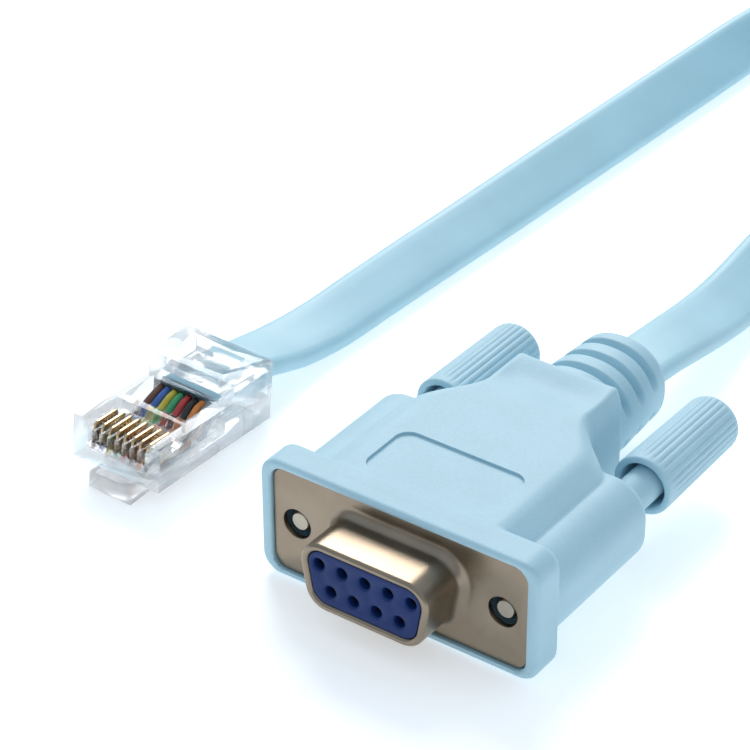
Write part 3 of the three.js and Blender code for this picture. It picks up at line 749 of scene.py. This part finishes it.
def route_through(points, spacing):
    """Points about spacing apart on a smooth curve through (x, y, z, twist) points."""
    p = np.array(points, float)
    ends = 2 * p[:1] - p[1:2], 2 * p[-1:] - p[-2:-1]
    p = np.concatenate([ends[0], p, ends[1]])
    route = []
    for i in range(1, len(p) - 2):
        a, b, c, d = p[i - 1:i + 3, :3]
        t0, t1, t2 = (math.sqrt(np.linalg.norm(v)) for v in (b - a, c - b, d - c))
        start = t1 * ((b - a) / t0 - (c - a) / (t0 + t1) + (c - b) / t1)
        end = t1 * ((c - b) / t1 - (d - b) / (t1 + t2) + (d - c) / t2)
        steps = max(1, round(np.linalg.norm(c - b) / spacing))
        for t in np.arange(steps) / steps:
            cube = (2 * t**3 - 3 * t**2 + 1) * b + (t**3 - 2 * t**2 + t) * start
            cube += (3 * t**2 - 2 * t**3) * c + (t**3 - t**2) * end
            route.append((*cube, p[i, 3] + t * (p[i + 1, 3] - p[i, 3])))
    route.append(tuple(p[-2]))
    return np.array(route)


def swept(route, section):
    """A closed strip of a section along (x, y, z, twist) points, level across at no twist."""
    centre, twist = route[:, :3], np.radians(route[:, 3])
    along = np.gradient(centre, axis=0)
    along /= np.linalg.norm(along, axis=1)[:, None]
    right = np.cross(along, (0, 0, 1))
    right /= np.linalg.norm(right, axis=1)[:, None]
    lift = np.cross(right, along)
    rings = []
    for c, r, u, t in zip(centre, right, lift, twist):
        wide, tall = r * math.cos(t) - u * math.sin(t), r * math.sin(t) + u * math.cos(t)
        rings.append([tuple(c + wide * x + tall * y) for x, y in section])
    return outward(*loft(rings))


def flat_section(width, thickness, steps=7):
    """The flat cable's section, with round edges."""
    straight = (width - thickness) / 2
    right = arc((straight, 0), thickness / 2, -90, 90, steps)
    left = arc((-straight, 0), thickness / 2, 90, 270, steps)
    middle = [(straight * s, thickness / 2) for s in (0.5, 0, -0.5)]
    foot = [(straight * s, -thickness / 2) for s in (-0.5, 0, 0.5)]
    return right + middle + left + foot


def cable_routes():
    """The run from the socket to the coil, the coil, and the run to the plug, in the socket's frame.

    A point is (x, y, z, twist), first in millimetres. The twist is in degrees."""
    c = settings("cable")
    floor = (hood_low[2] - hood_high[2]) / 2 / MM
    half = c.thickness / 2 / MM
    reach = (c.width - c.thickness) / 2 / MM
    clearance = 0.2

    def rest(tilt):
        """The height at which the cable lies on the floor, tilted by that many degrees."""
        return floor + clearance + half + reach * math.sin(math.radians(tilt))

    low = floor + (c.coil_lift + c.width / 2) / MM
    high = low + (c.width + c.layer_gap) / MM
    to_coil = [
        (0.1, 43.3, 0, 0), (0.1, 48, -0.4, 2), (-0.1, 54, -1.4, 8), (-0.5, 60, -2.6, 14),
        (-1.0, 66, -3.6, 20), (-1.6, 72, -4.1, 26), (-2.2, 78, rest(33) + 0.1, 33),
        (-2.5, 84, rest(42), 42), (-2.2, 90, rest(54), 54), (-0.2, 97.2, rest(68), 68),
        (4.0, 103.2, rest(80), 80), (9.6, 107.0, low - 0.3, 88), (15.8, 108, low, 90),
    ]
    to_plug = [
        (16, 198, high, 90), (4.22, 196.95, high - 0.5, 90), (-6.75, 192.4, high - 2.0, 90),
        (-16.17, 185.17, high - 4.2, 90), (-23.4, 175.75, high - 6.4, 90), (-28.5, 165.0, low, 90),
        (-30.2, 154, rest(84), 96), (-30.6, 144.5, rest(73), 107), (-31.0, 135, rest(59), 121),
        (-32.2, 125, rest(48), 132), (-32.8, 115, rest(43), 137), (-33.4, 105, rest(39), 141),
        (-34.0, 95, rest(35), 145), (-34.6, 85, rest(32), 148), (-35.2, 75, rest(28), 152),
        (-35.8, 65, rest(24), 156), (-36.4, 55, rest(22), 158), (-36.9, 46, rest(19), 161),
        (-37.4, 38, rest(15), 165), (-37.8, 31, -4.3, 171), (-38.05, 25, -2.9, 180),
        (-38.07, 21.4, -2.15, 177.59),
    ]
    per_turn = 24
    change = 0.5
    join = 0.25
    inner_dip = 0.3 * MM
    steps = round((2 * c.turns + change) * per_turn)
    coil = []
    for k in range(1, steps):
        turn = k / per_turn
        rise = min(max(turn - c.turns, 0) / change, 1)
        radius = c.coil_outer - c.coil_pitch * (min(turn, c.turns) - max(turn - c.turns - change, 0))
        near_end = 1 - ease(turn, 0, join) + ease(turn, steps / per_turn - join, steps / per_turn)
        radius += (c.coil_join - c.coil_outer) * near_end - inner_dip * math.sin(math.pi * rise)
        angle = 2 * math.pi * turn - math.pi / 2
        x, y = c.coil_x + radius * math.cos(angle), c.coil_y + radius * math.sin(angle)
        coil.append((x / MM, y / MM, low + (high - low) * ease(rise, 0, 1), 90))
    return [np.array(part) * (MM, MM, MM, 1) for part in (to_coil, coil, to_plug)]


# Operators, one for each piece or group of like pieces

class Piece:
    """What the operators share."""
    bl_options = {"REGISTER", "UNDO"}


class CABLE_OT_camera(Piece, bpy.types.Operator):
    """Adds the camera at the photograph's angle"""
    bl_idname = "cable.camera"
    bl_label = "Camera"

    def execute(self, context):
        s = settings("stage")
        back = Vector((
            math.sin(s.azimuth) * math.cos(s.elevation), -math.cos(s.azimuth) * math.cos(s.elevation),
            math.sin(s.elevation)))
        right = Vector((math.cos(s.azimuth), math.sin(s.azimuth), 0))
        up = back.cross(right)
        axes = Matrix((right, up, back)).transposed() @ Matrix.Rotation(s.roll, 3, "Z")
        data = bpy.data.cameras.new("camera")
        data.lens = s.lens
        data.sensor_width = 36
        data.clip_start = 0.01
        camera = bpy.data.objects.new("camera", data)
        camera.matrix_world = Matrix.Translation(Vector(s.target) + back * s.distance) @ axes.to_4x4()
        context.scene.collection.objects.link(camera)
        context.scene.camera = camera
        return {"FINISHED"}


class CABLE_OT_cable(Piece, bpy.types.Operator):
    """Adds the flat cable with its coil, and the two straps round the coil"""
    bl_idname = "cable.cable"
    bl_label = "Flat cable"

    def execute(self, context):
        c, plug = settings("cable"), settings("plug")
        inner = plug_frame()
        outer = socket_frame()
        depth = (plug.length, plug.length - plug.jacket_depth)
        inside = [outer.inverted() @ inner @ Vector((0, y, plug.jacket_height)) for y in depth]
        twist = 180 - math.degrees(plug.roll)
        tail = np.array([(*p, twist) for p in inside])
        route = route_through(np.concatenate([*cable_routes(), tail]), 1.6 * MM)
        route = np.array([(*(outer @ Vector(p[:3])), p[3]) for p in route])
        mesh = mesh_of("flat_cable", *swept(route, flat_section(c.width, c.thickness)))
        nodes = ("cable_socket_run", "cable_coil", "cable_plug_run", "cable_in_plug")
        jacket = finish("jacket", cable_jacket)
        cable = place(mesh, Matrix(), jacket, "connector", "cable_jacket", *nodes)
        straps = [self.strap(name) for name in ("left", "right")]
        return {"FINISHED"}

    def plug_pieces(self):
        """The pieces that stand for the plug's CAD nodes."""
        return [o for o in bpy.data.objects if any(n.startswith("plug_") for n in o.get("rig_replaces", []))]

    def strap(self, name):
        """A strap closed round the coil, with its end lapped over the top."""
        c = settings("cable")
        low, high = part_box(f"cable_tie_{name}")
        middle = (Vector(low) + Vector(high)) / 2
        size = Vector(high) - Vector(low)
        corner = 0.9 * MM
        half = c.strap_width / 2

        def stations(edge):
            """Places across the strap, and how far it is rounded off there."""
            return [(-half, edge), (-half + edge, 0), (half - edge, 0), (half, edge)]

        outline = rectangle(size.x, size.z)
        places = stations(c.strap_thickness * 0.3)
        rings = [across(rounded(outline, corner, -shrink, 6), y) for y, shrink in places]
        rings += [
            across(rounded(outline, corner, -c.strap_thickness + shrink, 6), y)
            for y, shrink in reversed(places)]
        loop = mesh_of(f"coil_strap_{name}", *outward(*loft(rings, closed=True)), sharp=40)
        end = rectangle(size.x * 0.6, c.strap_thickness * 0.8)
        lap = [across(rounded(end, 0.2 * MM, -shrink, 4), y) for y, shrink in stations(0.1 * MM)]
        flap = mesh_of("flap", *outward(*loft(lap)), sharp=40)
        flap.transform(Matrix.Translation((0, 0, size.z / 2 + c.strap_thickness * 0.42)))
        whole = bmesh.new()
        whole.from_mesh(loop)
        whole.from_mesh(flap)
        whole.to_mesh(loop)
        whole.free()
        cloth = finish("strap", woven_strap)
        return place(loop, Matrix.Translation(middle), cloth, "connector", "tie_strap", f"cable_tie_{name}")


class CABLE_OT_hood(Piece, bpy.types.Operator):
    """Adds the moulded hood"""
    bl_idname = "cable.hood"
    bl_label = "Hood"

    def shape(self, x, y, z):
        """The distance from points to the hood's surface, negative inside the plastic."""
        h, p = settings("hood"), settings("plate")
        knee_round, top_round, rear_round = 0.4 * MM, 0.5 * MM, 0.7 * MM
        ear_round, bezel_round, fillet = 1.0 * MM, 0.55 * MM, 0.2 * MM
        gap, seat_round, bore_round, room_round = 0.1 * MM, 0.18 * MM, 0.2 * MM, 0.25 * MM
        dip_place, dip_reach = 3.8 * MM, 2.6 * MM
        hollow_size, hollow_corner, hollow_rear = (8.2 * MM, 4.2 * MM), 1.5 * MM, 4.7 * MM
        pocket_radius, pocket_middle, pocket_half_depth = 3.1 * MM, 2.6 * MM, 2.4 * MM
        screw = p.screw_spacing / 2
        side, tall = np.abs(x), np.abs(z)
        half = h.height / 2 - h.step
        knee = h.ear_height / 2
        t = ease(y, h.shoulder_front, h.shoulder_rear)
        top = (h.grip_top + t * (h.neck_top - h.grip_top)) / 2
        foot = (h.grip_foot + t * (h.neck_foot - h.grip_foot)) / 2
        lean = (foot - top) / (half - knee)
        run = h.shoulder_rear - h.shoulder_front
        u = np.clip((y - h.shoulder_front) / run, 0, 1)
        taper = (h.neck_foot - h.grip_foot) / 2 * 6 * u * (1 - u) / run
        wall = (side - top - (half - tall) * lean) / np.sqrt(1 + lean * lean + taper * taper)
        upright = (side - foot) / np.sqrt(1 + taper * taper)
        dent = np.exp(-((y - h.rear + dip_place) / dip_reach) ** 2)
        sunk = h.dip * dent * np.clip(1 - (side / top) ** 4, 0, 1)
        body = trim(trim(wall, upright, knee_round), tall - half + sunk, top_round)
        body = trim(body, y - h.rear, rear_round)
        body = np.maximum(body, h.bezel_rear / 2 - y)
        ears = trim(block(x, z, screw + h.ear_side, knee, h.ear_corner), y - h.ear_rear, ear_round)
        ears = np.maximum(ears, h.bezel_rear / 2 - y)
        middle = (h.bezel_rear - h.lip) / 2
        depth = np.abs(y - middle) - (h.bezel_rear + h.lip) / 2
        bezel = trim(block(x, z, h.width / 2, h.height / 2, h.corner), depth, bezel_round)
        whole = fuse(fuse(body, ears, fillet), bezel, fillet)
        plate = block(x, z, p.width / 2 + gap, p.height / 2 + gap, p.corner + gap)
        whole = trim(whole, -np.maximum(plate, y - p.thickness - gap), seat_round)
        hollow = block(x, z, *hollow_size, hollow_corner)
        whole = np.maximum(whole, -np.maximum(hollow, y - hollow_rear))
        off_axis = np.hypot(side - screw, z)
        pocket = np.maximum(off_axis - pocket_radius, np.abs(y - pocket_middle) - pocket_half_depth)
        room = np.maximum(off_axis - h.knob_room / 2, h.ear_rear + 0.3 * MM - y)
        whole = trim(np.maximum(whole, -pocket), h.bore / 2 - off_axis, bore_round)
        return trim(whole, -room, room_round)

    def execute(self, context):
        h = settings("hood")
        screw_side = settings("plate").screw_spacing / 2 + h.ear_side
        wide = max(h.width / 2, screw_side)
        low = (-wide, -h.lip, -h.height / 2)
        high = (wide, h.rear, h.height / 2)
        mesh = mesh_of("moulded_hood", *skin(self.shape, low, high, h.cell))
        label = rounded(rectangle(h.label_width, h.label_rear - h.label_front), h.label_corner, 0, 12)
        top = h.height / 2 - h.step
        middle = (h.label_front + h.label_rear) / 2
        above = 2 * MM
        rings = [[(x, y + middle, z) for x, y in label] for z in (top - h.label_depth, top + above)]
        cutter = bpy.data.objects.new("label", mesh_of("label", *outward(*loft(rings))))
        work = bpy.data.objects.new("hood", mesh)
        for item in (cutter, work):
            context.scene.collection.objects.link(item)
        cut = work.modifiers.new("label", "BOOLEAN")
        cut.operation = "DIFFERENCE"
        cut.solver = "EXACT"
        cut.object = cutter
        evaluated = work.evaluated_get(context.evaluated_depsgraph_get())
        carved = bpy.data.meshes.new_from_object(evaluated)
        for item in (cutter, work):
            bpy.data.objects.remove(item)
        carved.name = "moulded_hood"
        smoothed(carved, 50)
        place(carved, socket_frame(), finish("hood", moulded_plastic), "connector", "hood_plastic", "hood")
        return {"FINISHED"}


class CABLE_OT_relief(Piece, bpy.types.Operator):
    """Adds the ribbed strain relief"""
    bl_idname = "cable.relief"
    bl_label = "Strain relief"

    def execute(self, context):
        r, h = settings("relief"), settings("hood")
        root = h.rear + 0.1 * MM
        tip = root + r.length
        sides = 192
        squareness = 2.2
        round_rear = 1.2 * MM
        spine_inside, spine_outside = 0.6 * MM, 1.2 * MM
        angles = 2 * math.pi * np.arange(sides) / sides
        cos, sin = np.cos(angles), np.sin(angles)
        shape_x = np.sign(cos) * np.abs(cos) ** (2 / squareness)
        shape_z = np.sign(sin) * np.abs(sin) ** (2 / squareness)
        tongue = rounded(rectangle(8 * MM, 6 * MM), 2 * MM, 0, sides // 4 - 1)
        start = sides // 8 * 5
        tongue = tongue[-start:] + tongue[:-start]
        rings = [across(tongue, y) for y in (root - 2 * MM, root - 0.02 * MM)]
        straight = np.linspace(root, tip - round_rear, 130)
        bend = tip - round_rear * (1 - np.sin(np.linspace(0.1, math.pi / 2, 12)))
        for y in np.concatenate([straight, bend]):
            t = (y - root) / r.length
            width = (r.root_width + t * (r.tip_width - r.root_width)) / 2
            height = (r.root_height + t * (r.tip_height - r.root_height)) / 2
            x, z = width * shape_x, height * shape_z
            over = ease(np.abs(z), r.spine / 2 - spine_inside, r.spine / 2 + spine_outside)
            cut = np.zeros(sides)
            for k in range(r.grooves):
                middle = root + r.groove_first + k * r.groove_pitch
                off = np.abs(y - middle) / (r.groove_width / 2)
                cut = np.maximum(cut, r.groove_depth * (1 - ease(off, 0.25, 1.25)) * over)
            fade = y - (tip - round_rear)
            if fade > 0:
                cut = cut + round_rear - math.sqrt(max(round_rear**2 - fade**2, 0))
            kept = 1 - cut / np.hypot(x, z)
            rings.append(across(zip(x * kept, z * kept), y))
        mesh = mesh_of("strain_relief_ribbed", *outward(*loft(rings)), sharp=60)
        plastic = finish("hood", moulded_plastic)
        place(mesh, socket_frame(), plastic, "connector", "hood_plastic", "strain_relief")
        return {"FINISHED"}


class CABLE_OT_plate(Piece, bpy.types.Operator):
    """Adds the metal plate with its shroud, and the contact block in it"""
    bl_idname = "cable.plate"
    bl_label = "Socket face"

    def execute(self, context):
        self.metal()
        self.contact_block()
        for number in range(1, 10):
            node = frame["nodes"][f"socket_contact_{number}"]
            node.data.materials.clear()
            node.data.materials.append(finish("gold", gold_plate))
        return {"FINISHED"}

    def metal(self):
        p = settings("plate")
        outer = rectangle(p.width, p.height)
        shroud = shroud_corners(p)
        shell = Shell()
        rim = shell.loop(rounded(outer, p.corner, -p.edge), 0)
        edge = [(rounded(outer, p.corner, -p.edge * (1 - math.sin(a))), p.edge * (1 - math.cos(a)))
                for a in np.radians((30, 60, 90))]
        back = shell.grow(rim, edge + [(rounded(outer, p.corner), p.thickness)])
        foot = shell.loop(rounded(shroud, p.shroud_corner, p.shroud_foot), 0)
        bend = [(p.shroud_foot * (1 - math.sin(a)), -p.shroud_foot * (1 - math.cos(a)))
                for a in np.radians(np.linspace(9, 90, 10))]
        front = -p.shroud_depth
        roll = p.shroud_wall / 2
        lip = [(roll * (math.cos(a) - 1), front + roll * (1 - math.sin(a)))
               for a in np.radians(np.linspace(0, 180, 15))]
        profile = bend + lip + [(-p.shroud_wall, p.thickness)]
        mouth = shell.grow(foot, [(rounded(shroud, p.shroud_corner, grow), y) for grow, y in profile])
        near, far = [], []
        for side in (-1, 1):
            x = side * p.screw_spacing / 2
            radius = p.screw_hole / 2
            hole = shell.loop(circle(x, 0, radius + 0.08 * MM), 0)
            near.append(hole)
            wall = ((0.02 * MM, 0.03 * MM), (0, 0.1 * MM), (0, p.thickness))
            far.append(shell.grow(hole, [(circle(x, 0, radius + wider), y) for wider, y in wall]))
        shell.cover(rim, foot, *near)
        shell.cover(back, mouth, *far)
        mesh = mesh_from(shell.mesh, "socket_plate", 50)
        nickel = finish("nickel", plated_steel, "nickel", tuple(p.nickel), 0.25)
        place(mesh, socket_frame(), nickel, "connector", "nickel", "front_plate")

    def contact_block(self):
        p = settings("plate")
        clearance, edge, seat = 0.03 * MM, 0.12 * MM, 0.9 * MM
        inset = -p.shroud_wall - clearance
        front = -p.shroud_depth + p.block_recess
        shroud = shroud_corners(p)
        shell = Shell()
        rim = shell.loop(rounded(shroud, p.shroud_corner, inset - edge), front)
        sides = ((0.03 * MM, 0.03 * MM), (0, edge), (0, p.block_depth))
        back = shell.grow(rim, [
            (rounded(shroud, p.shroud_corner, inset - less), front + depth) for less, depth in sides])
        mouth, bore = p.countersink / 2, p.hole / 2
        hole_wall = (
            (mouth, 0.03 * MM), (bore + 0.03 * MM, 0.16 * MM), (bore, 0.22 * MM), (bore, 1.0 * MM),
            (seat, 1.0 * MM), (seat, p.block_depth))
        holes, ends = [], []
        for count, z in ((5, p.row_spacing / 2), (4, -p.row_spacing / 2)):
            for k in range(count):
                x = (k - (count - 1) / 2) * p.pitch
                hole = shell.loop(circle(x, z, mouth + 0.05 * MM, 32), front)
                holes.append(hole)
                wall = [(circle(x, z, radius, 32), front + depth) for radius, depth in hole_wall]
                ends.append(shell.grow(hole, wall))
        shell.cover(rim, *holes)
        shell.cover(back, *ends)
        mesh = mesh_from(shell.mesh, "contact_block", 40)
        plastic = finish("block", block_plastic)
        place(mesh, socket_frame(), plastic, "connector", "insulator_blue", "insulator")


class CABLE_OT_thumbscrews(Piece, bpy.types.Operator):
    """Adds the two fluted knobs on their steel screws"""
    bl_idname = "cable.thumbscrews"
    bl_label = "Thumbscrews"

    def execute(self, context):
        k, p = settings("knob"), settings("plate")
        front, rear = k.front, k.front + k.length
        stem_front = front - k.stem_length
        screw_gap, blind_end, screw_end, setback = 0.1 * MM, 2.9 * MM, 3.0 * MM, 0.5 * MM
        bore = k.screw_diameter / 2 + screw_gap
        stem = k.stem_diameter / 2
        cup = k.cup_diameter / 2
        wide, narrow = k.front_diameter / 2, k.rear_diameter / 2
        blind = rear - blind_end
        r = k.end_rounding
        soft = 0.3 * MM
        after = front + 2 * soft
        profile = [(0, blind), (bore, blind), (bore, stem_front)]
        profile += arc((stem - soft, stem_front + soft), soft, -90, 0, 3)
        floor = front + k.cup_depth
        profile += [(stem, floor - 0.35 * MM), (stem + 0.1 * MM, floor - 0.1 * MM), (stem + 0.35 * MM, floor)]
        profile += [(cup - 0.3 * MM, floor), (cup - 0.05 * MM, floor - 0.2 * MM), (cup, floor - 0.5 * MM)]
        profile += [(cup, front + soft)]
        profile += arc((cup + soft, front + soft), soft, 180, 270, 4)[1:]
        profile += arc((wide - soft, front + soft), soft, -90, 0, 4)
        length = rear - r - after
        profile += [(wide + (narrow - wide) * s, after + length * s) for s in np.linspace(0, 1, 22)]
        profile += arc((narrow - r, rear - r), r, 0, 90, 9)[1:]
        profile += [(narrow - r - 2 * soft, rear), (0, rear)]

        def flutes(radius, y, angle):
            start = ease(y, front + 0.7 * MM, front + 1.3 * MM)
            along = start * (1 - ease(y, rear - 1.5 * MM, rear - 0.25 * MM))
            outer = radius > narrow - r * 0.5
            wave = abs(math.sin(k.flutes * angle / 2)) ** 0.8
            return radius - k.flute_depth * (1 - wave) * along * outer

        tip, shank = k.screw_tip / 2, k.screw_diameter / 2
        steel = [(0, setback), (tip - 0.06 * MM, setback), (tip, setback + 0.05 * MM)]
        steel += [(shank - 0.05 * MM, 1.4 * MM), (shank, 1.5 * MM)]
        steel += [(shank, rear - screw_end), (0, rear - screw_end)]
        for side, name in ((-1, "left"), (1, "right")):
            at = socket_frame() @ Matrix.Translation((side * p.screw_spacing / 2, 0, 0))
            grip = turned(profile, k.flutes * 8, flutes)
            mesh = mesh_of(f"fluted_knob_{name}", *outward(*grip), sharp=50)
            place(mesh, at, finish("hood", moulded_plastic), f"{name}_knob", "hood_plastic", f"knob_{name}")
            mesh = mesh_of(f"steel_screw_{name}", *outward(*turned(steel, 48)), sharp=30)
            metal = finish("steel", plated_steel, "screw steel", tuple(k.steel), 0.22)
            place(mesh, at, metal, f"{name}_screw", "screw_steel", f"screw_{name}")
        return {"FINISHED"}


class CABLE_OT_plug(Piece, bpy.types.Operator):
    """Adds the clear plug with its latch, blades and wires"""
    bl_idname = "cable.plug"
    bl_label = "Modular plug"

    def execute(self, context):
        p = settings("plug")
        clear = finish("clear", clear_polycarbonate)
        here = Matrix()
        mouldings = (("clear_plug_body", "plug_body", "connector"), ("clear_latch", "plug_latch", "latch"))
        for name, node, body in mouldings:
            place(softened(name, node, p.edge), here, clear, body, "clear_plastic", node)
        gold = finish("gold", gold_plate)
        jacket_front = p.length - p.jacket_depth
        ring = circle(0, 0, p.wire_diameter / 2, 14)
        slots = {s["node"]: s["material_slot"] for s in frame["record"]["subparts"]}
        for k in range(8):
            i = k - 3.5
            blade = softened(f"gold_blade_{k + 1}", f"plug_blade_{k + 1}", p.blade_edge)
            place(blade, here, gold, "connector", "contact_gold", f"plug_blade_{k + 1}")
            near, far = i * p.wire_spread, i * p.wire_pitch
            path = [
                (near, jacket_front - 0.3 * MM, p.jacket_height, 0),
                (near, jacket_front - 1.4 * MM, p.jacket_height - 0.2 * MM, 0),
                (far, 9.0 * MM, p.wire_height + 0.7 * MM, 0),
            ]
            path += [(far, y * MM, p.wire_height, 0) for y in (7.0, 4.6, 0.8)]
            node = f"plug_wire_{k + 1}"
            slot = slots[node]
            wire = mesh_of(f"wire_{k + 1}", *swept(route_through(path, 0.4 * MM), ring), sharp=50)
            coat = finish(slot, wire_insulation, slot, record_colour(slot))
            place(wire, plug_frame(), coat, "connector", slot, node)
        return {"FINISHED"}


class CABLE_OT_stage(Piece, bpy.types.Operator):
    """Adds the pale floor, the lights and the sky"""
    bl_idname = "cable.stage"
    bl_label = "Stage"

    def execute(self, context):
        s = settings("stage")
        half = 3.0
        corners = [(-half, -half, 0), (half, -half, 0), (half, half, 0), (-half, half, 0)]
        floor = bpy.data.objects.new("floor", mesh_of("floor", corners, [(0, 1, 2, 3)]))
        f = Finish(bpy.data.materials.new("floor"))
        cloud = f.noise(0.5, 2)
        paint = f.mix(cloud, tuple(s.floor), shade(tuple(s.floor), 0.99))
        floor.data.materials.append(f.coat(
            Base_Color=paint, Roughness=0.6, Specular_IOR_Level=0.2,
            Emission_Color=(1.0, 1.0, 1.0), Emission_Strength=s.glow))
        context.scene.collection.objects.link(floor)
        self.key_light(s)
        self.sky(s)
        view = context.scene.view_settings
        view.view_transform = "Standard"
        view.look = "None"
        return {"FINISHED"}

    def key_light(self, s):
        data = bpy.data.lights.new("key", "AREA")
        data.shape = "DISK"
        data.size = s.key_size
        data.energy = s.key
        data.color = s.key_colour
        lamp = bpy.data.objects.new("key", data)
        lamp.location = s.key_place
        lamp.rotation_euler = (-lamp.location).to_track_quat("-Z", "Y").to_euler()
        bpy.context.scene.collection.objects.link(lamp)

    def sky(self, s):
        """A studio that is brighter overhead than near the horizon."""
        bpy.context.scene.world = bpy.data.worlds.new("studio")
        f = Finish(bpy.context.scene.world, "Background")
        way = f.node("ShaderNodeTexCoord", output="Generated")
        height = f.node("ShaderNodeSeparateXYZ", {}, {"Vector": way}, "Z")
        colour = f.mix(height.step(0, 0.55), tuple(s.horizon), tuple(s.overhead))
        f.coat(Color=colour, Strength=s.sky)


OPERATORS = (
    CABLE_OT_camera, CABLE_OT_cable, CABLE_OT_hood, CABLE_OT_relief, CABLE_OT_plate, CABLE_OT_thumbscrews,
    CABLE_OT_plug, CABLE_OT_stage,
)


class CABLE_PT_panel(bpy.types.Panel):
    """Lists the settings and the pieces"""
    bl_idname = "CABLE_PT_panel"
    bl_label = "Console cable"
    bl_space_type = "VIEW_3D"
    bl_region_type = "UI"
    bl_category = "Console cable"

    def draw(self, context):
        for operator in OPERATORS:
            self.layout.operator(operator.bl_idname)
        for name, group in GROUPS.items():
            box = self.layout.box()
            box.label(text=name.capitalize())
            for key in group.__annotations__:
                box.prop(settings(name), key)


CLASSES = (*GROUPS.values(), *OPERATORS, CABLE_PT_panel)


def register():
    for cls in CLASSES:
        bpy.utils.register_class(cls)
    for name, group in GROUPS.items():
        setattr(bpy.types.Scene, f"console_cable_{name}", PointerProperty(type=group))


def unregister():
    for name in GROUPS:
        delattr(bpy.types.Scene, f"console_cable_{name}")
    for cls in reversed(CLASSES):
        bpy.utils.unregister_class(cls)


def main():
    register()
    bpy.ops.cable.camera()
    bpy.ops.cable.plug()
    bpy.ops.cable.cable()
    bpy.ops.cable.hood()
    bpy.ops.cable.relief()
    bpy.ops.cable.plate()
    bpy.ops.cable.thumbscrews()
    bpy.ops.cable.stage()


if __name__ == "__main__":
    main()
